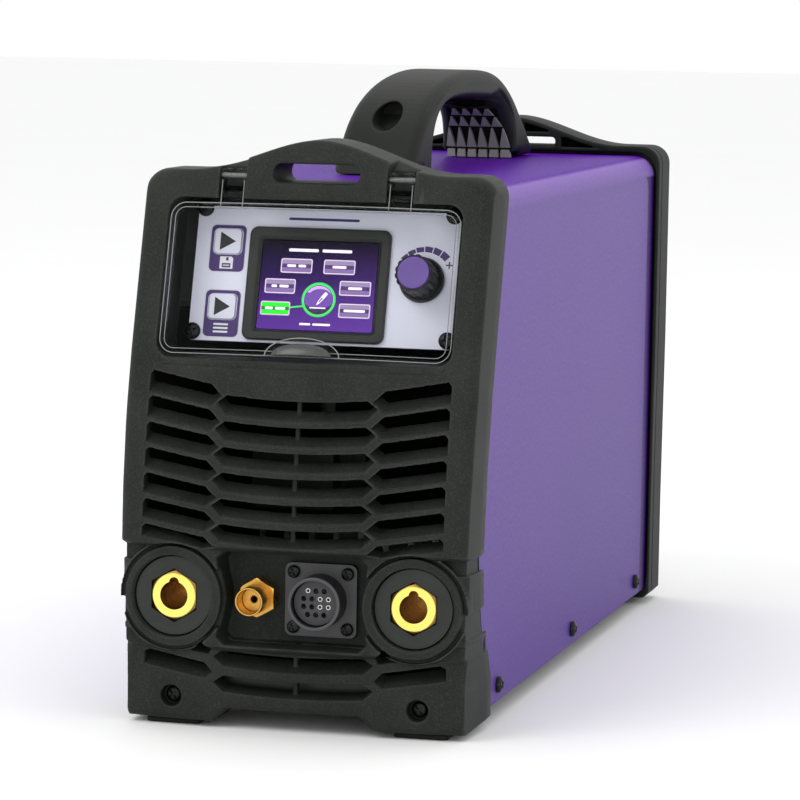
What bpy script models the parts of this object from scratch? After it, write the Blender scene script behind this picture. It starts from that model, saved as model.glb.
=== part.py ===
"""Portable inverter TIG welding power source.

Metres, +Z up. The front faces -Y, +X is on the right of somebody facing it.
The origin is under the middle of the machine, on the surface it stands on.
Dimensions below are in millimetres, measured from the machine's datum: X from
the centre plane, Y back from the plane of the two current socket faces, Z up
from 2.5 mm below the foot pads' underside.
"""
import bpy
import bmesh
import math
from mathutils import Vector, Matrix

for old in list(bpy.data.objects):
    bpy.data.objects.remove(old, do_unlink=True)

# ----------------------------------------------------------------- dimensions
MM = 0.001
DATUM_Y = -221.5            # socket face plane, in the model's frame
DATUM_Z = -2.5

GAP = 0.3                   # clearance left between touching pieces

# sheet metal body
COVER_HALF = 80.8
COVER_TOP = 248.7
COVER_BOTTOM = 11.6
COVER_BEND = 11.0
COVER_SHEET = 1.2
TRAY_FLOOR = 24.0           # the tray is a pan turned down: floor above its flanges
TRAY_EDGE = 15.0
TRAY_SHEET = 1.5

# front moulding
FASCIA_HALF_TOP = 83.0
FASCIA_HALF_LOW = 81.9
FRONT_BOW = 4.0             # how far the front crowns forward at mid width
LEAN = math.radians(15.7)   # the upper front and the panel lean back
LEAN_Y, LEAN_Z = 19.5, 207.5
FRONT_PROFILE = [(-5, 4.8), (38.4, 3.9), (40.6, 0.2), (84.6, -0.2), (86.6, -3.8), (112, -1.9),
                 (140, 2.3), (173.5, 9.9), (241.5, 29.2), (280, 40.0)]
REAR_PROFILE = [(-5, 45.0), (25.0, 45.6), (40, 37.6), (55, 31.0), (70, 26.6), (83.0, 25.0),
                (119.0, 26.6), (155.0, 32.6), (185.0, 41.2), (243.0, 58.0), (280, 68.0)]
RECESS_HALF, RECESS_LOW, RECESS_TOP, RECESS_R = 68.8, 173.5, 241.5, 7.0
PANEL_V = 24.6              # panel face, behind the leaning front plane
SOCKET_X, SOCKET_Z = 55.97, 62.45
SLOT_PITCH_MID, SLOT_PITCH_SIDE = 11.37, 11.32

# hinge of the clear door
HINGE_Y, HINGE_Z = 33.0, 251.6
HINGE_X = 39.4

# rear moulding
BEZEL_HALF = 84.0
BEZEL_FRONT, BEZEL_REAR = 418.8, 452.0
PANEL_REAR_Y = 421.6        # front face of the rear sheet

KNOB_X, KNOB_W = 46.3, 5.2
CONN_X, CONN_Z = 10.6, 62.6
GAS_X, GAS_Z = -18.0, 62.9
FAN_Z = 92.0

# ----------------------------------------------------------------- collections
parts = bpy.data.collections.new("tig_welding_machine")
cutters = bpy.data.collections.new("cutters")
bpy.context.scene.collection.children.link(parts)
bpy.context.scene.collection.children.link(cutters)


# ------------------------------------------------------------------- materials
def material(name, rgb, rough, metal=0.0, alpha=1.0, transmission=0.0):
    m = bpy.data.materials.new(name)
    m.use_nodes = True
    b = m.node_tree.nodes["Principled BSDF"]
    b.inputs["Base Color"].default_value = (*rgb, 1.0)
    b.inputs["Roughness"].default_value = rough
    b.inputs["Metallic"].default_value = metal
    b.inputs["Alpha"].default_value = alpha
    b.inputs["Transmission Weight"].default_value = transmission
    m.diffuse_color = (*rgb, 1.0)
    return m


CHARCOAL = (0.032, 0.037, 0.033)
PURPLE = (0.155, 0.060, 0.300)
SILVER = (0.46, 0.47, 0.56)
BLACK = (0.008, 0.008, 0.008)
STEEL = (0.50, 0.50, 0.50)
ZINC = (0.62, 0.62, 0.60)
BRASS = (0.80, 0.52, 0.16)
RUBBER = (0.015, 0.015, 0.015)
GREEN = (0.02, 0.11, 0.05)
COPPER = (0.72, 0.35, 0.16)


# --------------------------------------------------------------------- helpers
def link(ob, where=parts):
    where.objects.link(ob)
    return ob


def to_object(name, bm):
    bmesh.ops.recalc_face_normals(bm, faces=bm.faces[:])
    me = bpy.data.meshes.new(name)
    bm.to_mesh(me)
    bm.free()
    ob = bpy.data.objects.new(name, me)
    return link(ob)


def settle(ob):
    """Replace an object by the mesh that its modifiers or curve make."""
    bpy.context.view_layer.update()
    dg = bpy.context.evaluated_depsgraph_get()
    me = bpy.data.meshes.new_from_object(ob.evaluated_get(dg), depsgraph=dg)
    bm = bmesh.new()
    bm.from_mesh(me)
    bmesh.ops.remove_doubles(bm, verts=bm.verts[:], dist=1e-6)
    bm.transform(ob.matrix_world)
    name = ob.name
    bpy.data.objects.remove(ob, do_unlink=True)
    bpy.data.meshes.remove(me)
    new = to_object(name, bm)
    new.name = name
    return new


def shift(ob, fn):
    """Move each corner of a mesh by a rule given in millimetres from the datum."""
    for v in ob.data.vertices:
        x, y, z = v.co[0] / MM, v.co[1] / MM, v.co[2] / MM
        v.co = Vector(fn(x, y, z)) * MM
    ob.data.update()
    return ob


def prism(name, loops, axis, lo, hi):
    """A flat outline with straight sides. Outlines for axis Y are (x, z), for
    axis X (y, z), for axis Z (x, y)."""
    cu = bpy.data.curves.new(name, 'CURVE')
    cu.dimensions = '2D'
    cu.fill_mode = 'BOTH'
    cu.extrude = (hi - lo) / 2 * MM
    for pts in loops:
        sp = cu.splines.new('POLY')
        sp.points.add(len(pts) - 1)
        for p, q in zip(sp.points, pts):
            p.co = (q[0] * MM, q[1] * MM, 0.0, 1.0)
        sp.use_cyclic_u = True
    ob = link(bpy.data.objects.new(name, cu))
    ob = settle(ob)
    mid = (hi + lo) / 2
    if axis == 'Y':
        return shift(ob, lambda a, b, c: (a, mid - c, b))
    if axis == 'X':
        return shift(ob, lambda a, b, c: (mid + c, a, b))
    return shift(ob, lambda a, b, c: (a, b, mid + c))


def box(name, x0, x1, y0, y1, z0, z1, bevel=0.0, segments=2):
    bm = bmesh.new()
    bmesh.ops.create_cube(bm, size=1.0)
    for v in bm.verts:
        v.co = Vector((x0 if v.co.x < 0 else x1, y0 if v.co.y < 0 else y1,
                       z0 if v.co.z < 0 else z1)) * MM
    ob = to_object(name, bm)
    if bevel:
        m = ob.modifiers.new("edges", 'BEVEL')
        m.width = bevel * MM
        m.segments = segments
        ob = settle(ob)
    return ob


def rod(name, axis, centre, r, lo, hi, seg=16, r2=None, turn=0.0):
    """A cylinder or cone along an axis; centre gives the two other coordinates."""
    bm = bmesh.new()
    bmesh.ops.create_cone(bm, cap_ends=True, segments=seg, radius1=r * MM,
                          radius2=(r if r2 is None else r2) * MM, depth=(hi - lo) * MM)
    ob = to_object(name, bm)
    mid = (lo + hi) / 2
    ct, st = math.cos(turn), math.sin(turn)
    a0, b0 = centre

    def place(a, b, c):
        a, b = a * ct - b * st, a * st + b * ct
        if axis == 'Y':
            return (a0 + a, mid + c, b0 - b)
        if axis == 'X':
            return (mid + c, a0 + a, b0 + b)
        return (a0 + a, b0 + b, mid + c)
    return shift(ob, place)


def turned(name, profile, seg, axis, centre):
    """A turned shape. The profile is (radius, position along the axis) and runs
    down the outside from the far end."""
    bm = bmesh.new()
    vs = [bm.verts.new((r * MM, 0.0, h * MM)) for r, h in profile]
    closed = all(r > 0 for r, h in profile)
    for i in range(len(vs) - (0 if closed else 1)):
        bm.edges.new((vs[i], vs[(i + 1) % len(vs)]))
    me = bpy.data.meshes.new(name)
    bm.to_mesh(me)
    bm.free()
    ob = link(bpy.data.objects.new(name, me))
    s = ob.modifiers.new("turn", 'SCREW')
    s.axis = 'Z'
    s.angle = math.tau
    s.steps = s.render_steps = seg
    s.use_merge_vertices = True
    s.merge_threshold = 0.00001
    s.use_normal_calculate = True
    ob = settle(ob)
    a0, b0 = centre
    if axis == 'Y':
        return shift(ob, lambda a, b, c: (a0 + a, c, b0 - b))
    if axis == 'X':
        return shift(ob, lambda a, b, c: (c, a0 + a, b0 + b))
    return shift(ob, lambda a, b, c: (a0 + a, b0 + b, c))


def boolean(ob, tool, op='DIFFERENCE', keep=False):
    m = ob.modifiers.new("cut", 'BOOLEAN')
    m.operation = op
    m.solver = 'EXACT'
    m.object = tool
    name = ob.name
    bpy.context.view_layer.update()
    dg = bpy.context.evaluated_depsgraph_get()
    me = bpy.data.meshes.new_from_object(ob.evaluated_get(dg), depsgraph=dg)
    ob.modifiers.clear()
    old = ob.data
    ob.data = me
    bpy.data.meshes.remove(old)
    if not keep:
        bpy.data.objects.remove(tool, do_unlink=True)
    ob.name = name
    return ob


def cut(ob, *tools):
    for t in tools:
        ob = boolean(ob, t, 'DIFFERENCE')
    return ob


def join(ob, *tools):
    for t in tools:
        ob = boolean(ob, t, 'UNION')
    return ob


def meet(ob, *tools):
    for t in tools:
        ob = boolean(ob, t, 'INTERSECT')
    return ob


def copy_of(ob, name):
    return link(bpy.data.objects.new(name, ob.data.copy()))


def tidy(ob, angle=1.0):
    """Drop the needless corners that cuts leave on flat faces."""
    bm = bmesh.new()
    bm.from_mesh(ob.data)
    bmesh.ops.remove_doubles(bm, verts=bm.verts[:], dist=2e-6)
    bmesh.ops.dissolve_limit(bm, angle_limit=math.radians(angle), use_dissolve_boundaries=False,
                             verts=bm.verts[:], edges=bm.edges[:])
    bmesh.ops.triangulate(bm, faces=bm.faces[:])
    bmesh.ops.recalc_face_normals(bm, faces=bm.faces[:])
    bm.to_mesh(ob.data)
    bm.free()
    return ob


def leaning(ob):
    """From the panel's own frame (x, depth behind the front plane, height up
    the slope) to the machine's."""
    c, s = math.cos(LEAN), math.sin(LEAN)
    return shift(ob, lambda x, v, w: (x, LEAN_Y + v * c + w * s, LEAN_Z - v * s + w * c))


def lean_point(x, v, w):
    c, s = math.cos(LEAN), math.sin(LEAN)
    return (x, LEAN_Y + v * c + w * s, LEAN_Z - v * s + w * c)


def place(ob, name, mat, pivot, parent=None, smooth=40):
    """Give a finished piece its name, material and origin."""
    off = Vector(pivot) * MM
    for v in ob.data.vertices:
        v.co -= off
    world = Vector((pivot[0], pivot[1] + DATUM_Y, pivot[2] + DATUM_Z)) * MM
    ob.data.name = name
    ob.name = name
    ob.data.materials.clear()
    ob.data.materials.append(mat)
    if parent is not None:
        ob.parent = parent
        ob.location = world - parent.location
    else:
        ob.location = world
    ob.data.shade_smooth()
    ob.data.set_sharp_from_angle(angle=math.radians(smooth))
    ob.data.update()
    return ob


def axis_empty(name, pivot):
    e = bpy.data.objects.new(name, None)
    e.empty_display_size = 0.02
    link(e)
    e.location = Vector((pivot[0], pivot[1] + DATUM_Y, pivot[2] + DATUM_Z)) * MM
    return e


def interp(table, z):
    for (z0, y0), (z1, y1) in zip(table, table[1:]):
        if z <= z1:
            return y0 + (y1 - y0) * (z - z0) / (z1 - z0)
    return table[-1][1]


def front_y(x, z, inset=0.0):
    return interp(FRONT_PROFILE, z) - FRONT_BOW * (1 - min(1.0, abs(x) / 82.0) ** 2) + inset


def round_rect(x0, x1, z0, z1, r, n=4):
    pts = []
    for cx, cz, a0 in ((x1 - r, z1 - r, 0), (x0 + r, z1 - r, 90), (x0 + r, z0 + r, 180),
                       (x1 - r, z0 + r, 270)):
        for i in range(n + 1):
            a = math.radians(a0 + 90 * i / n)
            pts.append((cx + r * math.cos(a), cz + r * math.sin(a)))
    return pts


def regular(n, r, cx=0.0, cz=0.0, turn=0.0):
    return [(cx + r * math.cos(math.tau * i / n + turn), cz + r * math.sin(math.tau * i / n + turn))
            for i in range(n)]


def arch_z(x, shoulder, crown):
    """Height of the top edge: level shoulders rising to a crown in an S curve."""
    a = abs(x)
    if a >= 62:
        return shoulder
    t = a / 62.0
    return shoulder + (crown - shoulder) * (0.5 + 0.5 * math.cos(math.pi * t ** 0.92))


def arch_outline(half_top, half_low, shoulder, crown, leg, notch, r=11.0):
    """Outline of the two end mouldings seen from the front."""
    pts = []
    for i in range(5):
        a = math.radians(90 * i / 4)
        pts.append((half_top - r + r * math.cos(a), shoulder - r + r * math.sin(a)))
    for x in (56, 44, 32, 20, 9, 0, -9, -20, -32, -44, -56):
        pts.append((x, arch_z(x, shoulder, crown)))
    for i in range(5):
        a = math.radians(90 + 90 * i / 4)
        pts.append((-half_top + r + r * math.cos(a), shoulder - r + r * math.sin(a)))
    pts += [(-half_top, 150), (-half_low, 60), (-half_low, leg + 3), (-half_low + 3, leg),
            (-38, leg), (-31, notch), (31, notch), (38, leg),
            (half_low - 3, leg), (half_low, leg + 3), (half_low, 60), (half_top, 150)]
    return pts


def curved_block(name, inset, y_back, xs, zs):
    """A block whose front is the crowned, leaning front surface."""
    bm = bmesh.new()
    nx, nz = len(xs) - 1, len(zs) - 1
    bmesh.ops.create_grid(bm, x_segments=nx, y_segments=nz, size=1.0)
    for v in bm.verts:
        i = round((v.co.x + 1) / 2 * nx)
        j = round((v.co.y + 1) / 2 * nz)
        x, z = xs[i], zs[j]
        v.co = Vector((x, front_y(x, z, inset(z)), z)) * MM
    back = bmesh.ops.extrude_face_region(bm, geom=bm.faces[:])
    for v in back["geom"]:
        if isinstance(v, bmesh.types.BMVert):
            v.co.y = y_back * MM
    return to_object(name, bm)


def u_loop(off):
    """The folded cover's section, open at the bottom."""
    h, t, b, r = COVER_HALF - off, COVER_TOP - off, COVER_BOTTOM, COVER_BEND - off
    pts = [(h, b)]
    for i in range(5):
        a = math.radians(90 * i / 4)
        pts.append((h - r + r * math.cos(a), t - r + r * math.sin(a)))
    for i in range(5):
        a = math.radians(90 + 90 * i / 4)
        pts.append((-h + r + r * math.cos(a), t - r + r * math.sin(a)))
    pts.append((-h, b))
    return pts


def rebate_loop():
    """The hollow that takes the end of the cover, with the corners underneath square."""
    pts = u_loop(-0.35)
    return [(pts[0][0], COVER_BOTTOM - 0.4)] + pts[1:-1] + [(pts[-1][0], COVER_BOTTOM - 0.4)]


# =================================================================== materials
M_FASCIA = material("charcoal_plastic_front", CHARCOAL, 0.55)

# =============================================================== front moulding
XS = [-92, -60, -30, 0, 30, 60, 92]
ZS = [z for z, y in FRONT_PROFILE]

outer = prism("front_fascia", [arch_outline(FASCIA_HALF_TOP, FASCIA_HALF_LOW, 254.0, 268.6, 5.2, 11.6)],
              'Y', -40, 120)
outer = meet(outer, curved_block("block", lambda z: 0.0, 110, XS, ZS))
behind = [(y, z) for z, y in REAR_PROFILE] + [(140, 280), (140, -5)]
outer = cut(outer, prism("behind", [behind], 'X', -100, 100))


def lean_wedge(name, loop, v_back, y_front=-30.0):
    """A level-sided pocket shape that ends on a plane parallel to the panel."""
    w = prism(name, [loop], 'Y', y_front, 110)
    slab = leaning(box("slab", -120, 120, -90, v_back, -140, 140))
    return meet(w, slab)


TUB = 2.7
tub_loop = round_rect(-RECESS_HALF - TUB, RECESS_HALF + TUB, RECESS_LOW - TUB, RECESS_TOP + TUB, RECESS_R + TUB)
tub_back = cut(lean_wedge("tub_back", tub_loop, PANEL_V + 1.5 + GAP + 2.5),
               box("ahead", -100, 100, -60, 44, 150, 300))
outer = join(outer, tub_back)

# cavity behind the front wall; the wall is thick where the louvres are
cavity = prism("cavity", [round_rect(-79.2, 79.2, 14.7, 246.4, 8)], 'Y', -60, 130)


def wall(z):
    if z < 166:
        return 9.0
    return 9.0 + (3.2 - 9.0) * min(1.0, (z - 166) / 10.0)


cavity = meet(cavity, curved_block("inner", wall, 125, XS, ZS))
cavity = cut(cavity, lean_wedge("tub", tub_loop, PANEL_V + 1.5 + GAP + 2.5))

# recess between the two sockets that holds the gas outlet and the connector
well = [(-34, 80.5), (-31, 83.5), (31, 83.5), (34, 80.5), (33.2, 74), (31.6, 68), (31.0, 62.5),
        (31.6, 57), (33.2, 50.5), (34, 45.5), (31, 42.5), (-31, 42.5), (-34, 45.5), (-33.2, 50.5),
        (-31.6, 57), (-31.0, 62.5), (-31.6, 68), (-33.2, 74)]
well_out = [(x * 1.09, 62.8 + (z - 62.8) * 1.13) for x, z in well]
WELL_Y = 11.8
cavity = cut(cavity, prism("well_wall", [well_out], 'Y', -50, WELL_Y + 2.8))
for sx in (-1, 1):
    cavity = cut(cavity, rod("boss", 'Y', (sx * SOCKET_X, SOCKET_Z), 21.5, -50, 16.5, 20))
    cavity = cut(cavity, rod("leg_boss", 'Y', (sx * 57.8, 16.0), 8.0, -50, 13.3, 12))
fascia = cut(outer, cavity)

# raised rim round each socket, with the bore for the insulating disc
for sx in (-1, 1):
    c = (sx * SOCKET_X, SOCKET_Z)
    fascia = join(fascia, rod("rim", 'Y', c, 22.5, -1.6, 8.0, 24, r2=21.0))
    fascia = cut(fascia, rod("disc_bore", 'Y', c, 18.6, -12.0, 6.4, 24),
                 rod("hub_bore", 'Y', c, 14.5, 2.0, 30.0, 20))
    # stepped grip pads beside the sockets
    s0, s1 = sorted((sx * 78.6, sx * 90))
    fascia = cut(fascia, box("pad", s0, s1, -20, 70, 78.4, 85.2),
                 box("pad", s0, s1, -20, 70, 49.0, 60.8),
                 box("pad", s0, s1, -20, 70, 39.4, 46.4))
fascia = cut(fascia, prism("well", [well], 'Y', -50, WELL_Y))
fascia = cut(fascia, rod("gas_bore", 'Y', (GAS_X, GAS_Z), 5.4, 5, 30, 16),
             rod("conn_bore", 'Y', (CONN_X, CONN_Z), 11.6, 5, 30, 20))
for dx in (-1, 1):
    for dz in (-1, 1):
        fascia = cut(fascia, rod("pilot", 'Y', (CONN_X + dx * 12.6, CONN_Z + dz * 12.6), 1.2, 8, 30, 8))

# recess for the control panel
fascia = cut(fascia, lean_wedge("recess",
                                round_rect(-RECESS_HALF, RECESS_HALF, RECESS_LOW, RECESS_TOP, RECESS_R),
                                PANEL_V + 1.5 + GAP, -60))
fascia = cut(fascia, leaning(box("window", -56.3, 54.5, 20, 60, -19.5, 31.5)))
for sx in (-1, 1):
    for w in (35.5, -22.2):
        px = sx * (59.0 if w > 0 else 60.2)
        fascia = cut(fascia, leaning(rod("pilot", 'Y', (px, w), 1.5, 20, 50, 8)))

# carrying-bar slot through the arch and the two hinge slots
fascia = cut(fascia, prism("bar_slot", [round_rect(-20.2, 20.2, 249.4, 257.8, 3.6, 3)], 'Y', -20, 120))
for sx in (-1, 1):
    hx = sx * HINGE_X
    fascia = cut(fascia, box("hinge_slot", hx - 6.2, hx + 6.2, 0, 41, 239.3, 256.8, 0))
    fascia = cut(fascia, rod("pin_bore", 'X', (HINGE_Y, HINGE_Z), 1.5, hx - 9.5, hx + 9.5, 10))

# counterbored screw holes in the legs
for sx in (-1, 1):
    c = (sx * 57.8, 16.0)
    fascia = cut(fascia, rod("counterbore", 'Y', c, 4.9, -20, 9.0, 14), rod("through", 'Y', c, 2.3, 5, 40, 8))


# louvre slots, each a channel that rises inward
def slot_mid(z0):
    top, low = 3.6, -3.6
    f = lambda x: z0 + 0.0010 * x * x
    pts = [(-37.4, f(37.4)), (-32.6, f(32.6) + top), (0, f(0) + top), (32.6, f(32.6) + top),
           (37.4, f(37.4)), (32.6, f(32.6) + low), (0, f(0) + low), (-32.6, f(32.6) + low)]
    return pts


def slot_side(z0, sx, x_out=70.0, low_out=None):
    f = lambda x: z0 + 0.0010 * x * x
    pts = [(35.0, f(35.0)), (40.5, f(40.5) + 4.0), (x_out - 1.5, f(x_out) + 3.9),
           (x_out, f(x_out) + 2.4), (x_out, f(x_out) - 4.2), (40.5, f(40.5) - 4.0)]
    if low_out:
        pts = pts[:4] + low_out
    return [(sx * x, z) for x, z in pts]


def louvre(loop, slope=0.62, deep=16.0):
    zc = sum(p[1] for p in loop) / len(loop)
    xc = sum(p[0] for p in loop) / len(loop)
    y0 = front_y(xc, zc)
    t = prism("louvre", [loop], 'Y', y0 - 8, y0 + deep)
    return shift(t, lambda x, y, z: (x, y, z + slope * (y - y0)))


for k in range(6):
    fascia = cut(fascia, louvre(slot_mid(148.1 - SLOT_PITCH_MID * k)))
for sx in (-1, 1):
    for k in range(6):
        fascia = cut(fascia, louvre(slot_side(153.0 - SLOT_PITCH_SIDE * k, sx)))
    fascia = cut(fascia, louvre(slot_side(153.0 - SLOT_PITCH_SIDE * 6, sx,
                                          low_out=[(70.0, 88.8), (54, 87.4), (41.6, 83.6)]), 0.62, 12.0))
    fascia = cut(fascia, louvre([(sx * x, z) for x, z in
                                 ((37.8, 28.4), (41.6, 32.4), (68, 36.0), (70.4, 34.9), (70.6, 29.2), (41.6, 25.4))],
                                0.62, 9.3))
    fascia = cut(fascia, louvre([(sx * x, z) for x, z in
                                 ((38.2, 39.2), (41.8, 42.6), (48.4, 37.4), (39.8, 36.2))], 0.3, 9.3))
fascia = cut(fascia, louvre(slot_mid(33.2), 0.62, 9.3))
fascia = cut(fascia, louvre(slot_mid(21.8), 0.3, 9.3))

# rebate that the sheet cover slips into
rear_lip = prism("rebate", [rebate_loop()], 'Y', -20, 130)
ahead = [(y - 5.0, z) for z, y in REAR_PROFILE] + [(-60, 280), (-60, -5)]
rear_lip = cut(rear_lip, prism("ahead", [ahead], 'X', -100, 100))
fascia = cut(fascia, cut(rear_lip, lean_wedge("tub", tub_loop, PANEL_V + 1.5 + GAP + 2.5)))
tidy(fascia, 0.6)
place(fascia, "front_fascia", M_FASCIA, (0, 20, 130))

# ==================================================================== the cover
cover = prism("cover", [u_loop(0) + u_loop(COVER_SHEET)[::-1]], 'Y', 0, 423.0)
front_edge = [(y - 4.6, z) for z, y in REAR_PROFILE] + [(-60, 280), (-60, -5)]
cover = cut(cover, prism("front_edge", [front_edge], 'X', -100, 100))
SCREW_Y = (62.0, 226.0, 390.0)
for sx in (-1, 1):
    for y in SCREW_Y:
        s0, s1 = sorted((sx * 70, sx * 90))
        cover = cut(cover, rod("hole", 'X', (y, 19.4), 2.3, s0, s1, 10))
tidy(cover)
place(cover, "cover", material("purple_painted_steel", PURPLE, 0.35), (0, 240, 130))

# ================================================================ the floor tray
TRAY_HALF = 79.2
FLOOR_TOP = TRAY_FLOOR + TRAY_SHEET
tray_loop = [(-TRAY_HALF, TRAY_EDGE), (-TRAY_HALF + TRAY_SHEET, TRAY_EDGE), (-TRAY_HALF + TRAY_SHEET, TRAY_FLOOR),
             (TRAY_HALF - TRAY_SHEET, TRAY_FLOOR), (TRAY_HALF - TRAY_SHEET, TRAY_EDGE), (TRAY_HALF, TRAY_EDGE),
             (TRAY_HALF, FLOOR_TOP), (-TRAY_HALF, FLOOR_TOP)]
tray = prism("base_tray", [tray_loop], 'Y', 48.0, 421.2)
tray = join(tray, box("front_floor", -76, 76, 13.7, 50, TRAY_FLOOR + 0.1, FLOOR_TOP - 0.1))
tray = join(tray, box("front_flange", -69, 69, 13.6, 15.1, TRAY_EDGE + 0.2, FLOOR_TOP - 0.2))
for sx in (-1, 1):
    tray = cut(tray, box("notch", sx * 57.8 - 2.6, sx * 57.8 + 2.6, 10, 20, 10, 19.0))
    for y in SCREW_Y:
        s0, s1 = sorted((sx * 70, sx * 90))
        tray = cut(tray, rod("hole", 'X', (y, 19.4), 2.3, s0, s1, 10))
tidy(tray)
place(tray, "base_tray", material("black_painted_sheet", BLACK, 0.5), (0, 220, 24))

# ================================================================ rear moulding
bezel = prism("rear_bezel", [arch_outline(BEZEL_HALF, BEZEL_HALF - 0.6, 254.0, 268.6, 6.0, 11.6, 10.0)],
              'Y', BEZEL_FRONT, BEZEL_REAR)
bz = bezel.modifiers.new("edges", 'BEVEL')
bz.width = 2.6 * MM
bz.segments = 2
bz.limit_method = 'ANGLE'
bz.angle_limit = math.radians(50)
bezel = settle(bezel)
bezel = cut(bezel, prism("rebate", [rebate_loop()], 'Y', 400, 423.4))
bezel = cut(bezel, prism("window", [round_rect(-75, 75, 20.5, 241, 8)], 'Y', 410, 470))
bezel = cut(bezel, prism("bar_slot", [round_rect(-25.6, 25.6, 253.0, 257.8, 2.0, 2)], 'Y', 400, 470))
for sx in (-1, 1):
    for loop in ([(8.4, 260.8), (21.9, 260.8), (21.9, 264.6), (8.4, 266.0)],
                 [(23.9, 260.8), (41.5, 260.8), (23.9, 264.4)],
                 [(28.9, 252.6), (56.0, 252.6), (50.0, 255.8), (40, 257.6), (28.9, 257.6)]):
        bezel = cut(bezel, prism("pocket", [[(sx * x, z) for x, z in loop]], 'Y', 400, 438))
tidy(bezel)
place(bezel, "rear_bezel", material("charcoal_plastic_rear", CHARCOAL, 0.55), (0, 435, 130))

# ================================================================== rear sheet
SWITCH_X, SWITCH_Z = -44.0, 198.0
GLAND_X, GLAND_Z = 42.0, 198.0
GASIN_X, GASIN_Z = 66.0, 38.0
rear = prism("rear_panel", [round_rect(-78.8, 78.8, 13.4, 246.6, 9), regular(24, 56.8, 0, FAN_Z),
                            round_rect(SWITCH_X - 14.1, SWITCH_X + 14.1, SWITCH_Z - 11.1, SWITCH_Z + 11.1, 0.2, 1),
                            regular(16, 12.3, GLAND_X, GLAND_Z), regular(12, 6.0, GASIN_X, GASIN_Z)],
             'Y', PANEL_REAR_Y, PANEL_REAR_Y + 1.5)
for dx in (-1, 1):
    for dz in (-1, 1):
        rear = cut(rear, rod("hole", 'Y', (dx * 52.5, FAN_Z + dz * 52.5), 2.3, 400, 440, 8))
tidy(rear)
place(rear, "rear_panel", material("black_painted_sheet", BLACK, 0.5), (0, PANEL_REAR_Y, 130))

# ====================================================================== handle
HANDLE_OUT = [(121, 249.0), (131, 257.5), (141, 267), (152, 275.5), (170, 284.2), (197, 291.4),
              (230, 295.6), (262, 296.8), (298, 295.4), (321, 291.2), (343, 283.0), (362, 272.5),
              (379, 262.5), (391, 255.0), (397, 249.0)]
HANDLE_IN = [(347, 249.0), (346.5, 258), (345, 266), (341, 273), (334, 278), (321, 280.6), (295, 281.6), (240, 281.6),
             (208, 280.4), (190, 276), (178, 268.5), (172.5, 259), (171, 249.0)]
HANDLE_HALF = 20.0
handle = prism("handle", [HANDLE_OUT + HANDLE_IN], 'X', -HANDLE_HALF, HANDLE_HALF)
hb = handle.modifiers.new("edges", 'BEVEL')
hb.width = 6.0 * MM
hb.segments = 3
hb.limit_method = 'ANGLE'
hb.angle_limit = math.radians(70)
handle = settle(handle)
handle = cut(handle, box("base", -60, 60, 90, 430, 230, COVER_TOP + GAP))
handle = cut(handle, rod("bolt_bore", 'Y', (0, 275.8), 6.8, 130, 168, 16))
tidy(handle, 0.5)
place(handle, "handle", material("charcoal_plastic_handle", CHARCOAL, 0.5), (0, 259, 265))

# ======================================================================== feet
M_FOOT = material("foot_rubber", RUBBER, 0.8)
for tag, y0, y1 in (("front", 7.0, 37.0), ("rear", 421.0, 450.0)):
    for side, sx in (("left", -1), ("right", 1)):
        x0, x1 = sorted((sx * 45.5, sx * 71.0))
        top = 5.2 - GAP if tag == "front" else 6.0 - GAP
        foot = box("foot", x0, x1, y0, y1, 2.5, top)
        m = foot.modifiers.new("edges", 'BEVEL')
        m.width = 0.9 * MM
        m.segments = 2
        m.limit_method = 'ANGLE'
        foot = settle(foot)
        place(foot, "foot_%s_%s" % (tag, side), M_FOOT, ((x0 + x1) / 2, (y0 + y1) / 2, 4))

# ======================================================= control panel (leaning)
PANEL_X0, PANEL_X1, PANEL_W0, PANEL_W1 = -62.3, 62.3, -26.2, 36.8
panel = prism("control_panel", [round_rect(PANEL_X0, PANEL_X1, PANEL_W0, PANEL_W1, 2, 2),
                                round_rect(-34.6, 28.6, -23.4, 25.8, 2, 2),
                                round_rect(-53.8, -40.4, 14.1, 26.5, 1.5, 2),
                                round_rect(-53.8, -40.4, -16.5, -4.1, 1.5, 2),
                                regular(14, 4.2, KNOB_X, KNOB_W)], 'Y', PANEL_V, PANEL_V + 1.5)
screw_at = [(-59.0, 35.5), (59.0, 35.5), (-60.2, -22.2), (60.2, -22.2)]
for x, w in screw_at:
    panel = cut(panel, rod("hole", 'Y', (x, w), 2.2, 10, 40, 10))
tidy(panel)
place(leaning(panel), "control_panel", material("silver_panel", SILVER, 0.4, 0.3), lean_point(0, PANEL_V, 5))

frame_ring = prism("screen_bezel", [round_rect(-36.4, 30.6, -25.2, 27.6, 3.6, 3),
                                    round_rect(-30.3, 25.1, -20.3, 21.9, 1.0, 1)], 'Y', PANEL_V - 2.2, PANEL_V - GAP)
frame_ring = join(frame_ring, prism("spigot", [round_rect(-34.2, 28.2, -23.0, 25.4, 2, 2),
                                               round_rect(-30.3, 25.1, -20.3, 21.9, 1.0, 1)],
                                    'Y', PANEL_V - 1.0, PANEL_V + 1.5))
tidy(frame_ring)
place(leaning(frame_ring), "screen_bezel", material("dark_grey_bezel", (0.07, 0.075, 0.07), 0.5),
      lean_point(-3, PANEL_V, 1))
screen = prism("display_module", [round_rect(-29.9, 24.7, -19.9, 21.5, 0.8, 1)], 'Y', PANEL_V - 0.8, PANEL_V + 1.8)
screen = join(screen, box("carrier", -34, 28.4, PANEL_V + 1.8, PANEL_V + 5.0, -19.1, 25.0))
tidy(screen)
place(leaning(screen), "display_module", material("display_glass", (0.08, 0.02, 0.20), 0.1), lean_point(-3, PANEL_V, 1))
pcb = box("control_pcb", -50.5, 54.0, PANEL_V + 8.2, PANEL_V + 9.8, -19.0, 31.0)
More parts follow.
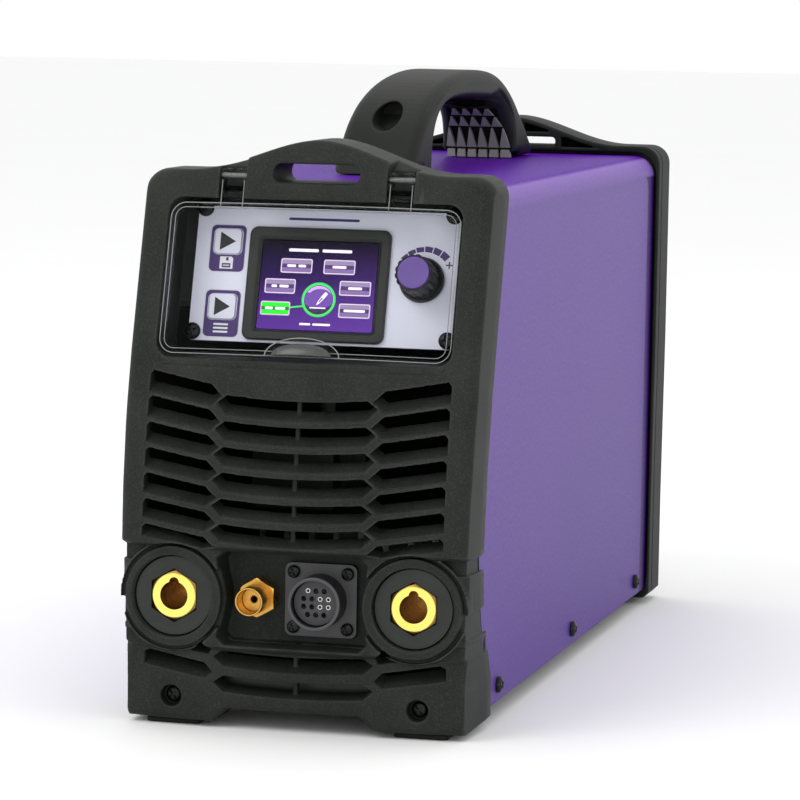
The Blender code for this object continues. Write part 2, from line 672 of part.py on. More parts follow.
pcb = cut(pcb, rod("hole", 'Y', (KNOB_X, KNOB_W), 2.0, 20, 60, 10))
tidy(pcb)
place(leaning(pcb), "control_pcb", material("green_laminate", GREEN, 0.45), lean_point(0, PANEL_V + 9, 5))

# -------------------------------------------------------- rotary control encoder
enc = prism("encoder_body", [round_rect(KNOB_X - 6.2, KNOB_X + 6.2, KNOB_W - 6.2, KNOB_W + 6.2, 0.8, 1),
                             regular(12, 3.3, KNOB_X, KNOB_W)], 'Y', PANEL_V + 1.8, PANEL_V + 7.9)
enc = join(enc, prism("bush", [regular(14, 3.9, KNOB_X, KNOB_W), regular(12, 3.3, KNOB_X, KNOB_W)],
                      'Y', PANEL_V - 2.0, PANEL_V + 3))
tidy(enc)
place(leaning(enc), "encoder_body", material("encoder_zinc", ZINC, 0.35, 0.9), lean_point(KNOB_X, PANEL_V + 5, KNOB_W))
push_axis = axis_empty("encoder_push_axis", lean_point(KNOB_X, PANEL_V, KNOB_W))
bpy.context.view_layer.update()
shaft = rod("encoder_shaft", 'Y', (KNOB_X, KNOB_W), 3.0, PANEL_V - 14.0, PANEL_V + 5.6, 14)
place(leaning(shaft), "encoder_shaft", material("shaft_steel", STEEL, 0.3, 1.0),
      lean_point(KNOB_X, PANEL_V, KNOB_W), push_axis)

# The knob: a plain skirt and a fluted grip, with a recess for the cap
flutes = []
for i in range(36):
    a = math.tau * i / 36
    r = 8.75 - 0.55 * (0.5 + 0.5 * math.cos(12 * a)) ** 2
    flutes.append((KNOB_X + r * math.cos(a), KNOB_W + r * math.sin(a)))
knob = prism("knob", [flutes], 'Y', PANEL_V - 18.0, PANEL_V - 3.0)
knob = join(knob, turned("skirt", [(0, PANEL_V - 0.9), (10.4, PANEL_V - 0.9), (10.6, PANEL_V - 1.6),
                                   (9.8, PANEL_V - 4.4), (8.0, PANEL_V - 5.4), (0, PANEL_V - 5.4)], 28, 'Y',
                         (KNOB_X, KNOB_W)))
knob = cut(knob, rod("cap_seat", 'Y', (KNOB_X, KNOB_W), 7.75, PANEL_V - 20, PANEL_V - 16.9, 28),
           rod("shaft_bore", 'Y', (KNOB_X, KNOB_W), 3.3, PANEL_V - 14.4, PANEL_V + 3, 14),
           rod("bush_clear", 'Y', (KNOB_X, KNOB_W), 4.9, PANEL_V - 3.4, PANEL_V + 3, 14))
tidy(knob)
place(leaning(knob), "knob", material("knob_black", (0.02, 0.022, 0.02), 0.5),
      lean_point(KNOB_X, PANEL_V, KNOB_W), push_axis)
cap = turned("knob_cap", [(0, PANEL_V - 17.2), (7.4, PANEL_V - 17.2), (7.4, PANEL_V - 18.1),
                          (6.9, PANEL_V - 18.5), (0, PANEL_V - 18.5)], 28, 'Y', (KNOB_X, KNOB_W))
place(leaning(cap), "knob_cap", material("knob_cap_purple", (0.16, 0.08, 0.29), 0.4),
      lean_point(KNOB_X, PANEL_V - 18, KNOB_W), push_axis)

# ---------------------------------------------------------------- two panel keys
M_KEY = material("key_silver", SILVER, 0.35, 0.1)
for name, w0 in (("button_upper", 14.5), ("button_lower", -16.1)):
    key = prism(name, [round_rect(-53.4, -40.8, w0, w0 + 11.6, 1.6, 3)], 'Y', PANEL_V - 0.9, PANEL_V + 2.0)
    key = join(key, box("flange", -54.6, -39.6, PANEL_V + 1.9, PANEL_V + 2.9, w0 + 1.0, w0 + 10.6))
    key = join(key, rod("stem", 'Y', (-47.1, w0 + 5.8), 2.0, PANEL_V + 2.5, PANEL_V + 7.4, 10))
    tidy(key)
    place(leaning(key), name, M_KEY, lean_point(-47.1, PANEL_V, w0 + 5.8))

# ----------------------------------------------------------- small machine screws
def pan_screw(name, head_r, head_h, shank_r, length, seg=10):
    """Head towards -Y with its seat at 0, shank along +Y, shallow driver dimple."""
    return turned(name, [(0, length), (shank_r, length), (shank_r, 0.0), (head_r, 0.0),
                         (head_r * 0.8, -head_h),
                         (0, -head_h * 0.6)], seg, 'Y', (0, 0))


M_SCREW = material("black_screw", BLACK, 0.4, 0.6)
for i, (x, w) in enumerate(screw_at):
    s = pan_screw("s", 3.9, 2.3, 1.25, 3.9)
    shift(s, lambda a, b, c: (x + a, PANEL_V - GAP + b, w + c))
    place(leaning(s), "panel_screw_%d" % (i + 1), M_SCREW, lean_point(x, PANEL_V, w))
for side, sx in (("left", -1), ("right", 1)):
    s = pan_screw("s", 3.7, 2.5, 1.9, 14.0)
    shift(s, lambda a, b, c: (sx * 57.8 + a, 9.0 - GAP + b, 16.0 + c))
    place(s, "fascia_screw_" + side, M_SCREW, (sx * 57.8, 9, 16))
n = 0
for sx in (1, -1):
    for y in SCREW_Y:
        n += 1
        s = pan_screw("s", 3.9, 2.4, 1.9, 6.0)
        shift(s, lambda a, b, c: (sx * (COVER_HALF + GAP - b), y + sx * a, 19.4 + c))
        place(s, "cover_screw_%d" % n, M_SCREW, (sx * COVER_HALF, y, 19.4))

# ============================================================== clear hinged door
DOOR_HALF, DOOR_LOW, DOOR_TOP = 68.2, -33.8, 33.2
bm = bmesh.new()
bmesh.ops.create_grid(bm, x_segments=8, y_segments=1, size=1.0)
for v in bm.verts:
    x = v.co.x * DOOR_HALF
    w = DOOR_LOW if v.co.y < 0 else DOOR_TOP
    v.co = Vector((x, 0.9 - 2.2 * (1 - (x / DOOR_HALF) ** 2), w)) * MM
back = bmesh.ops.extrude_face_region(bm, geom=bm.faces[:])
for v in back["geom"]:
    if isinstance(v, bmesh.types.BMVert):
        v.co.y += 2.2 * MM
door = to_object("door", bm)
door = meet(door, prism("outline", [round_rect(-DOOR_HALF + 0.1, DOOR_HALF - 0.1, DOOR_LOW + 0.1, DOOR_TOP - 0.1, 7.2, 4)],
                        'Y', -20, 20))
AX_V = (HINGE_Y - LEAN_Y) * math.cos(LEAN) - (HINGE_Z - LEAN_Z) * math.sin(LEAN)
AX_W = (HINGE_Y - LEAN_Y) * math.sin(LEAN) + (HINGE_Z - LEAN_Z) * math.cos(LEAN)
for sx in (-1, 1):
    hx = sx * HINGE_X
    door = join(door, box("arm", hx - 5.5, hx + 5.5, -0.6, 2.0, 31.0, AX_W))
    door = join(door, rod("knuckle", 'X', (AX_V, AX_W), 3.3, hx - 5.5, hx + 5.5, 14))
    door = cut(door, rod("knuckle_bore", 'X', (AX_V, AX_W), 1.5, hx - 9, hx + 9, 10))
    door = cut(door, box("knuckle_gap", hx - 1.3, hx + 1.3, -9, 9, AX_W - 4.2, AX_W + 5))
# finger tab along the lower edge
tab = [(-18.5, DOOR_LOW + 0.2), (-12, DOOR_LOW + 5.6), (-6, DOOR_LOW + 8.0), (6, DOOR_LOW + 8.0),
       (12, DOOR_LOW + 5.6), (18.5, DOOR_LOW + 0.2)]
door = join(door, prism("tab", [tab], 'Y', -4.6, 0.6))
tidy(door)
hinge = axis_empty("door_hinge_axis", (0, HINGE_Y, HINGE_Z))
bpy.context.view_layer.update()
place(leaning(door), "door", material("clear_polycarbonate", (0.85, 0.86, 0.88), 0.08, 0.0, 0.25, 0.9),
      (0, HINGE_Y, HINGE_Z), hinge)
M_PIN = material("pin_steel", STEEL, 0.3, 1.0)
for side, sx in (("left", -1), ("right", 1)):
    pin = rod("pin", 'X', (HINGE_Y, HINGE_Z), 1.2, sx * HINGE_X - 9.0, sx * HINGE_X + 9.0, 10)
    place(pin, "hinge_pin_" + side, M_PIN, (sx * HINGE_X, HINGE_Y, HINGE_Z))

# =========================================================== remote control socket
shell = prism("connector_shell", [round_rect(CONN_X - 16.8, CONN_X + 16.8, CONN_Z - 16.8, CONN_Z + 16.8, 2.5, 3),
                                  regular(20, 10.6, CONN_X, CONN_Z)], 'Y', WELL_Y - GAP - 2.6, WELL_Y - GAP)
shell = join(shell, prism("barrel", [regular(20, 12.2, CONN_X, CONN_Z), regular(20, 10.6, CONN_X, CONN_Z)],
                          'Y', -3.5, WELL_Y - 1.5))
shell = join(shell, prism("back_barrel", [regular(20, 11.3, CONN_X, CONN_Z), regular(20, 10.6, CONN_X, CONN_Z)],
                          'Y', WELL_Y - 1.2, 24.0))
for dx in (-1, 1):
    for dz in (-1, 1):
        shell = cut(shell, rod("hole", 'Y', (CONN_X + dx * 12.6, CONN_Z + dz * 12.6), 1.6, 0, 20, 8))
tidy(shell)
place(shell, "connector_shell", material("black_anodised", (0.02, 0.02, 0.022), 0.4, 0.3), (CONN_X, WELL_Y, CONN_Z))
pins = []
for row, count in ((5.4, 3), (1.8, 4), (-1.8, 4), (-5.4, 3)):
    for i in range(count):
        pins.append((CONN_X + (i - (count - 1) / 2) * 3.8, CONN_Z + row))
insert = prism("connector_insert", [regular(20, 10.2, CONN_X, CONN_Z)] + [regular(6, 1.1, x, z) for x, z in pins],
               'Y', 0.8, 22.0)
place(tidy(insert), "connector_insert", material("black_insert", (0.012, 0.012, 0.012), 0.6), (CONN_X, 10, CONN_Z))
k = 0
for dx in (-1, 1):
    for dz in (-1, 1):
        k += 1
        s = pan_screw("s", 2.9, 1.7, 0.95, 6.0, 10)
        cx, cz = CONN_X + dx * 12.6, CONN_Z + dz * 12.6
        shift(s, lambda a, b, c: (cx + a, WELL_Y - GAP - 2.6 - GAP + b, cz + c))
        place(s, "connector_screw_%d" % k, M_SCREW, (cx, WELL_Y - 3, cz))

# ==================================================================== gas outlet
gas = prism("gas_outlet", [regular(6, 15.8 / math.sqrt(3), GAS_X, GAS_Z, math.radians(90))], 'Y', 3.4, WELL_Y - GAP)
gas = join(gas, rod("spout", 'Y', (GAS_X, GAS_Z), 6.45, -9.0, 4.5, 24),
           rod("tail", 'Y', (GAS_X, GAS_Z), 5.0, 10.0, 26.0, 16))
gas = cut(gas, rod("seat", 'Y', (GAS_X, GAS_Z), 5.4, -12.0, -0.6, 24),
          rod("bore", 'Y', (GAS_X, GAS_Z), 1.5, -10.0, 40.0, 10))
tidy(gas)
place(gas, "gas_outlet", material("brass_gas", BRASS, 0.25, 1.0), (GAS_X, 5, GAS_Z))

# =============================================================== current sockets
M_BRASS = material("brass_socket", BRASS, 0.25, 1.0)
M_DISC = material("insulator_black", (0.03, 0.032, 0.03), 0.6)
for side, sx in (("negative", -1), ("positive", 1)):
    cx = sx * SOCKET_X
    hexa = regular(6, 20.6 / math.sqrt(3), cx, SOCKET_Z, math.radians(90))
    body = prism("socket", [hexa], 'Y', 0.4, 24.0)
    body = join(body, rod("collar", 'Y', (cx, SOCKET_Z), 10.2, 0.0, 4.0, 20),
                rod("tail", 'Y', (cx, SOCKET_Z), 8.0, 20.0, 36.0, 16))
    body = cut(body, rod("bore", 'Y', (cx, SOCKET_Z), 6.5, -5.0, 30.0, 24),
               rod("key", 'Y', (cx, SOCKET_Z + 6.1), 2.3, -5.0, 12.0, 12))
    tidy(body)
    place(body, "socket_" + side, M_BRASS, (cx, 0, SOCKET_Z))
    hole = regular(6, (20.6 + 0.7) / math.sqrt(3), cx, SOCKET_Z, math.radians(90))
    disc = prism("disc", [regular(24, 18.05, cx, SOCKET_Z), hole], 'Y', 0.2, 6.1)
    disc = join(disc, prism("hub", [regular(20, 13.95, cx, SOCKET_Z), hole], 'Y', 5.0, 20.0))
    tidy(disc)
    place(disc, "insulator_" + side, M_DISC, (cx, 3, SOCKET_Z))

# =========================================================================== fan
ring = prism("fan_frame", [round_rect(-59.5, 59.5, FAN_Z - 59.5, FAN_Z + 59.5, 5, 2), regular(24, 57.4, 0, FAN_Z)],
             'Y', 396.3, 421.3)
ring = join(ring, rod("motor_cup", 'Y', (0, FAN_Z), 20.0, 396.3, 399.0, 20))
for i in range(4):
    a = math.tau * i / 4 + 0.5
    ca, sa = math.cos(a), math.sin(a)
    bar = box("strut", 16, 58.4, 396.3, 398.8, -1.6, 1.6)
    shift(bar, lambda x, y, z: (x * ca - z * sa, y, FAN_Z + x * sa + z * ca))
    ring = join(ring, bar)
ring = join(ring, rod("spindle", 'Y', (0, FAN_Z), 1.8, 398.0, 414.0, 10))
for dx in (-1, 1):
    for dz in (-1, 1):
        ring = cut(ring, rod("hole", 'Y', (dx * 52.5, FAN_Z + dz * 52.5), 2.2, 380, 440, 8))
tidy(ring)
place(ring, "fan_frame", material("fan_black", BLACK, 0.5), (0, 408, FAN_Z))
rotor = turned("fan_rotor", [(19.5, 418.5), (19.5, 401.0), (2.3, 401.0), (2.3, 418.5)], 24, 'Y', (0, FAN_Z))
for i in range(7):
    a = math.tau * i / 7
    ca, sa = math.cos(a), math.sin(a)
    blade = box("blade", 18.0, 55.0, 401.5, 418.0, -0.9, 0.9)
    shift(blade, lambda x, y, z: ((x, y, z + (y - 409.7) * (1.25 - 0.012 * x))))
    shift(blade, lambda x, y, z: (x * ca - z * sa, y, FAN_Z + x * sa + z * ca))
    rotor = join(rotor, blade)
tidy(rotor)
spin = axis_empty("fan_axis", (0, 409, FAN_Z))
bpy.context.view_layer.update()
place(rotor, "fan_rotor", material("fan_rotor_black", (0.012, 0.012, 0.012), 0.4), (0, 409, FAN_Z), spin)
GUARD_Y = PANEL_REAR_Y + 1.5 + GAP
guard = prism("fan_guard", [regular(20, 58.4, 0, FAN_Z), regular(20, 56.0, 0, FAN_Z)], 'Y', GUARD_Y, GUARD_Y + 2.0)
for r in (36, 16):
    guard = join(guard, prism("ring", [regular(16, r + 1.0, 0, FAN_Z), regular(16, r - 1.0, 0, FAN_Z)],
                              'Y', GUARD_Y + 1.1, GUARD_Y + 2.9))
for i in range(4):
    a = math.tau * i / 4 + math.pi / 4
    ca, sa = math.cos(a), math.sin(a)
    bar = box("spoke", 15.4, 77.4, GUARD_Y, GUARD_Y + 2.0, -1.0, 1.0)
    shift(bar, lambda x, y, z: (x * ca - z * sa, y, FAN_Z + x * sa + z * ca))
    guard = join(guard, bar)
tidy(guard)
place(guard, "fan_guard", material("guard_wire", STEEL, 0.3, 1.0), (0, GUARD_Y, FAN_Z))

# ================================================================= mains switch
house = prism("switch_housing", [round_rect(SWITCH_X - 16.5, SWITCH_X + 16.5, SWITCH_Z - 13.5, SWITCH_Z + 13.5, 2, 2)],
              'Y', GUARD_Y, GUARD_Y + 2.0)
house = join(house, box("well", SWITCH_X - 13.7, SWITCH_X + 13.7, 402.0, GUARD_Y + 1.0, SWITCH_Z - 10.7, SWITCH_Z + 10.7))
house = cut(house, box("hollow", SWITCH_X - 12.6, SWITCH_X + 12.6, 404.5, 440.0, SWITCH_Z - 9.6, SWITCH_Z + 9.6))
tidy(house)
place(house, "switch_housing", material("switch_black", BLACK, 0.45), (SWITCH_X, GUARD_Y, SWITCH_Z))
ROCK_Y = 417.0
# the rocker is tipped 10 degrees: its upper end stands out, switched off
rk = [(12.0, -7.9), (10.2, 0.0), (12.0, 7.9), (0.0, 8.5), (-6.0, 4.0), (-6.0, -4.0), (0.0, -8.5)]
tip = math.radians(10)
loop = [(ROCK_Y + a * math.cos(tip) + b * math.sin(tip), SWITCH_Z - a * math.sin(tip) + b * math.cos(tip)) for a, b in rk]
rocker = prism("switch_rocker", [[(y, z) for y, z in loop]], 'X', SWITCH_X - 12.0, SWITCH_X + 12.0)
rock = axis_empty("rocker_axis", (SWITCH_X, ROCK_Y, SWITCH_Z))
bpy.context.view_layer.update()
place(rocker, "switch_rocker", material("rocker_red", (0.35, 0.02, 0.02), 0.35), (SWITCH_X, ROCK_Y, SWITCH_Z), rock)

# ================================================================== cable gland
gland = turned("cable_gland", [(11.6, 447.0), (12.4, 445.0), (13.6, 434.0), (15.2, 432.5), (15.2, GUARD_Y), (11.9, GUARD_Y),
                               (11.9, 408.0), (7.0, 408.0), (7.0, 447.0)], 16, 'Y', (GLAND_X, GLAND_Z))
place(tidy(gland), "cable_gland", material("gland_nylon", (0.02, 0.02, 0.02), 0.5), (GLAND_X, GUARD_Y, GLAND_Z))

# ==================================================================== gas inlet
gin = prism("gas_inlet", [regular(6, 15 / math.sqrt(3), GASIN_X, GASIN_Z, math.radians(90))], 'Y', GUARD_Y, GUARD_Y + 6.0)
gin = join(gin, rod("spigot", 'Y', (GASIN_X, GASIN_Z), 5.6, 410.0, GUARD_Y + 3.0, 16),
           turned("tail", [(0, 448.0), (3.2, 448.0), (4.4, 444.5), (3.6, 444.0), (4.6, 440.0), (3.8, 439.5), (4.8, 435.5),
                           (4.2, 435.0), (5.2, 427.5), (0, 427.5)], 16, 'Y', (GASIN_X, GASIN_Z)))
gin = cut(gin, rod("bore", 'Y', (GASIN_X, GASIN_Z), 2.0, 400, 460, 10))
place(tidy(gin), "gas_inlet", material("brass_inlet", BRASS, 0.25, 1.0), (GASIN_X, GUARD_Y, GASIN_Z))

# ==================================================================== internals
# heatsink on the tray, board above it, transformer and choke in the air path
SINK_X0, SINK_X1, SINK_BASE, SINK_TOP = -72.0, 46.0, 72.0, 80.0
FINS, FIN_T = 10, 3.0
pitch = (SINK_X1 - SINK_X0 - FIN_T) / (FINS - 1)
sink_loop = [(SINK_X1, SINK_TOP), (SINK_X0, SINK_TOP)]
for i in range(FINS):
    x = SINK_X0 + pitch * i
    sink_loop += [(x, FLOOR_TOP + GAP), (x + FIN_T, FLOOR_TOP + GAP)]
    if i < FINS - 1:
        sink_loop += [(x + FIN_T, SINK_BASE), (x + pitch, SINK_BASE)]
sink = prism("heatsink", [sink_loop], 'Y', 190.0, 385.0)
place(tidy(sink), "heatsink", material("extruded_aluminium", (0.55, 0.56, 0.57), 0.35, 1.0), (0, 290, 85))
PCB_Z = SINK_TOP + GAP
TOP_Z = PCB_Z + 1.8 + GAP
board = box("main_pcb", -73, 73, 110.0, 388.0, PCB_Z, PCB_Z + 1.8)
place(board, "main_pcb", material("power_laminate", (0.03, 0.10, 0.03), 0.5), (0, 249, PCB_Z))
core = box("transformer", -60, 4, 304.0, 372.0, TOP_Z, TOP_Z + 64, 2.0, 1)
core = join(core, box("winding", -69, 13, 315.0, 361.0, TOP_Z + 4, TOP_Z + 60, 4.0, 1))
place(tidy(core), "transformer", material("ferrite", (0.03, 0.03, 0.03), 0.6), (-28, 338, TOP_Z + 32))
choke = turned("output_choke", [(27, TOP_Z + 52), (29, TOP_Z + 44), (29, TOP_Z + 8), (27, TOP_Z), (14, TOP_Z),
                                (12, TOP_Z + 8), (12, TOP_Z + 44), (14, TOP_Z + 52)], 18, 'Z', (38, 268))
place(tidy(choke), "output_choke", material("copper_winding", COPPER, 0.4, 0.9), (38, 268, TOP_Z + 26))
hf = box("hf_unit", -64, -18, 140.0, 195.0, TOP_Z, TOP_Z + 36, 2.5, 1)
place(hf, "hf_unit", material("potting_resin", (0.04, 0.04, 0.05), 0.5), (-41, 168, TOP_Z + 18))
valve = box("gas_valve", GASIN_X - 11, GASIN_X + 11, 374.0, 392.0, FLOOR_TOP + GAP, 50.0, 1.5, 1)
valve = join(valve, rod("coil", 'Z', (GASIN_X, 383.0), 9.0, 49.0, 66.0, 14))
valve = join(valve, rod("port", 'Y', (GASIN_X, GASIN_Z), 4.4, 391.0, 409.6, 12))
valve = join(valve, rod("outlet", 'Y', (GASIN_X, GASIN_Z), 3.0, 362.0, 375.0, 10))
place(tidy(valve), "gas_valve", material("valve_body", (0.30, 0.30, 0.31), 0.4, 0.6), (GASIN_X, 383, 38))

# gas hose from the valve to the outlet fitting, along the floor
hose = bpy.data.curves.new("gas_hose", 'CURVE')
hose.dimensions = '3D'
hose.bevel_depth = 3.6 * MM
hose.bevel_resolution = 2
hose.use_fill_caps = True
route = [(GASIN_X, 361.6, GASIN_Z), (GASIN_X, 350, GASIN_Z), (63, 325, 34), (60, 285, 32), (58, 240, 32), (54, 200, 32),
         (42, 165, 33), (20, 130, 36), (0, 98, 42), (-11, 70, 51), (-16.5, 50, 59), (GAS_X, 38, GAS_Z), (GAS_X, 26.4, GAS_Z)]


def smooth_route(pts, per=6):
    out = []
    P = [Vector(p) for p in pts]
    P = [P[0] * 2 - P[1]] + P + [P[-1] * 2 - P[-2]]
    for i in range(1, len(P) - 2):
        for k in range(per):
            t = k / per
            a, b, c, d = P[i - 1], P[i], P[i + 1], P[i + 2]
            out.append(0.5 * ((2 * b) + (c - a) * t + (2 * a - 5 * b + 4 * c - d) * t * t + (3 * b - a - 3 * c + d) * t ** 3))
    out.append(P[-2])
    return out


pts = smooth_route(route, 2)
sp = hose.splines.new('POLY')
sp.points.add(len(pts) - 1)
for p, q in zip(sp.points, pts):
    p.co = (q[0] * MM, q[1] * MM, q[2] * MM, 1.0)
h = link(bpy.data.objects.new("gas_hose", hose))
h = settle(h)
place(h, "gas_hose", material("hose_rubber", RUBBER, 0.6), (20, 200, 34))
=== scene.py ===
import bpy
import bmesh
import math
import numpy as np
from mathutils import Vector, Matrix


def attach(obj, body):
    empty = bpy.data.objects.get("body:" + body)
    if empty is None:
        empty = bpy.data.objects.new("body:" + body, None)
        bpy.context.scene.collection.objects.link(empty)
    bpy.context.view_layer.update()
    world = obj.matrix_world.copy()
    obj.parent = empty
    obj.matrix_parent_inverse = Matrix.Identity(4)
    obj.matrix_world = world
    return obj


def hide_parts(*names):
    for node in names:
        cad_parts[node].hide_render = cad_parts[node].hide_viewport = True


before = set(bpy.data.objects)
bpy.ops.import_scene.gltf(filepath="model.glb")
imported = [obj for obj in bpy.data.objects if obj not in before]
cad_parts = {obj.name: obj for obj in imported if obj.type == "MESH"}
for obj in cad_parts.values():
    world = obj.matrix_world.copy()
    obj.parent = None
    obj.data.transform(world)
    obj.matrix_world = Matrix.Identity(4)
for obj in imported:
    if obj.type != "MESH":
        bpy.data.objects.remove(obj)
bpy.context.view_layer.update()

MM = 0.001
DY, DZ = -221.5, -2.5           # from the machine's datum (mm) to the row frame
rng = np.random.default_rng(7)

# ------------------------------------------------------------------ dimensions
COVER_HALF, COVER_TOP, COVER_BOTTOM, COVER_BEND, COVER_SHEET = 80.8, 248.7, 11.6, 11.0, 1.2
FASCIA_HALF_TOP, FASCIA_HALF_LOW, FRONT_BOW = 83.0, 81.9, 4.0
LEAN = math.radians(15.7)
LC, LS = math.cos(LEAN), math.sin(LEAN)
LEAN_Y, LEAN_Z = 19.5, 207.5
FRONT_PROFILE = [(-5, 4.8), (38.4, 3.9), (40.6, 0.2), (84.6, -0.2), (86.6, -3.8), (112, -1.9),
                 (140, 2.3), (173.5, 9.9), (241.5, 29.2), (280, 40.0)]
REAR_PROFILE = [(-5, 45.0), (25.0, 45.6), (40, 37.6), (55, 31.0), (70, 26.6), (83.0, 25.0),
                (119.0, 26.6), (155.0, 32.6), (185.0, 41.2), (243.0, 58.0), (280, 68.0)]
RECESS_HALF, RECESS_LOW, RECESS_TOP, RECESS_R = 68.8, 170.2, 241.5, 7.0
PANEL_V = 24.6
SOCKET_X, SOCKET_Z = 55.97, 62.45
HINGE_Y, HINGE_Z, HINGE_X = 33.0, 251.6, 39.4
BEZEL_HALF, BEZEL_FRONT, BEZEL_REAR = 84.0, 418.8, 452.0
PANEL_REAR_Y = 421.6
GUARD_Y = PANEL_REAR_Y + 1.8
KNOB_X, KNOB_W = 46.3, 5.2
CONN_X, CONN_Z = 10.6, 62.6
GAS_X, GAS_Z = -18.0, 62.9
FAN_Z = 92.0
WELL_Y = 11.8
SWITCH_X, SWITCH_Z = -44.0, 198.0
GLAND_X, GLAND_Z = 42.0, 198.0
GASIN_X, GASIN_Z = 66.0, 38.0


# ===================================================== solid fields and meshing
def poly_sdf(px, pz, pts):
    """Signed distance to a closed outline, negative inside."""
    d = np.full(np.broadcast(px, pz).shape, 1e9, np.float32)
    inside = np.zeros(d.shape, bool)
    n = len(pts)
    for i in range(n):
        ax, az = pts[i]
        bx, bz = pts[(i + 1) % n]
        ex, ez = bx - ax, bz - az
        wx, wz = px - ax, pz - az
        t = np.clip((wx * ex + wz * ez) / (ex * ex + ez * ez + 1e-12), 0, 1)
        dx, dz = wx - ex * t, wz - ez * t
        d = np.minimum(d, dx * dx + dz * dz)
        if abs(ez) > 1e-9:
            c = ((az <= pz) & (bz > pz)) | ((bz <= pz) & (az > pz))
            inside ^= c & (px < ax + (pz - az) * (ex / ez))
    d = np.sqrt(d)
    return np.where(inside, -d, d).astype(np.float32)


def rrect_sdf(px, pz, x0, x1, z0, z1, r):
    qx = np.abs(px - (x0 + x1) / 2) - (x1 - x0) / 2 + r
    qz = np.abs(pz - (z0 + z1) / 2) - (z1 - z0) / 2 + r
    return np.sqrt(np.maximum(qx, 0) ** 2 + np.maximum(qz, 0) ** 2) + np.minimum(np.maximum(qx, qz), 0) - r


def both(a, b, r):
    """Where two solids meet, with the edge between them rounded."""
    if np.isscalar(r) and r <= 0:
        return np.maximum(a, b)
    return np.minimum(-r, np.maximum(a, b)) + np.sqrt(np.maximum(a + r, 0) ** 2 + np.maximum(b + r, 0) ** 2)


def either(a, b, r):
    """Two solids together, with the corner between them filled."""
    if np.isscalar(r) and r <= 0:
        return np.minimum(a, b)
    return np.maximum(r, np.minimum(a, b)) - np.sqrt(np.maximum(r - a, 0) ** 2 + np.maximum(r - b, 0) ** 2)


def table(z, rows):
    zs = np.array([p[0] for p in rows], float)
    ys = np.array([p[1] for p in rows], float)
    return np.interp(z, zs, ys)


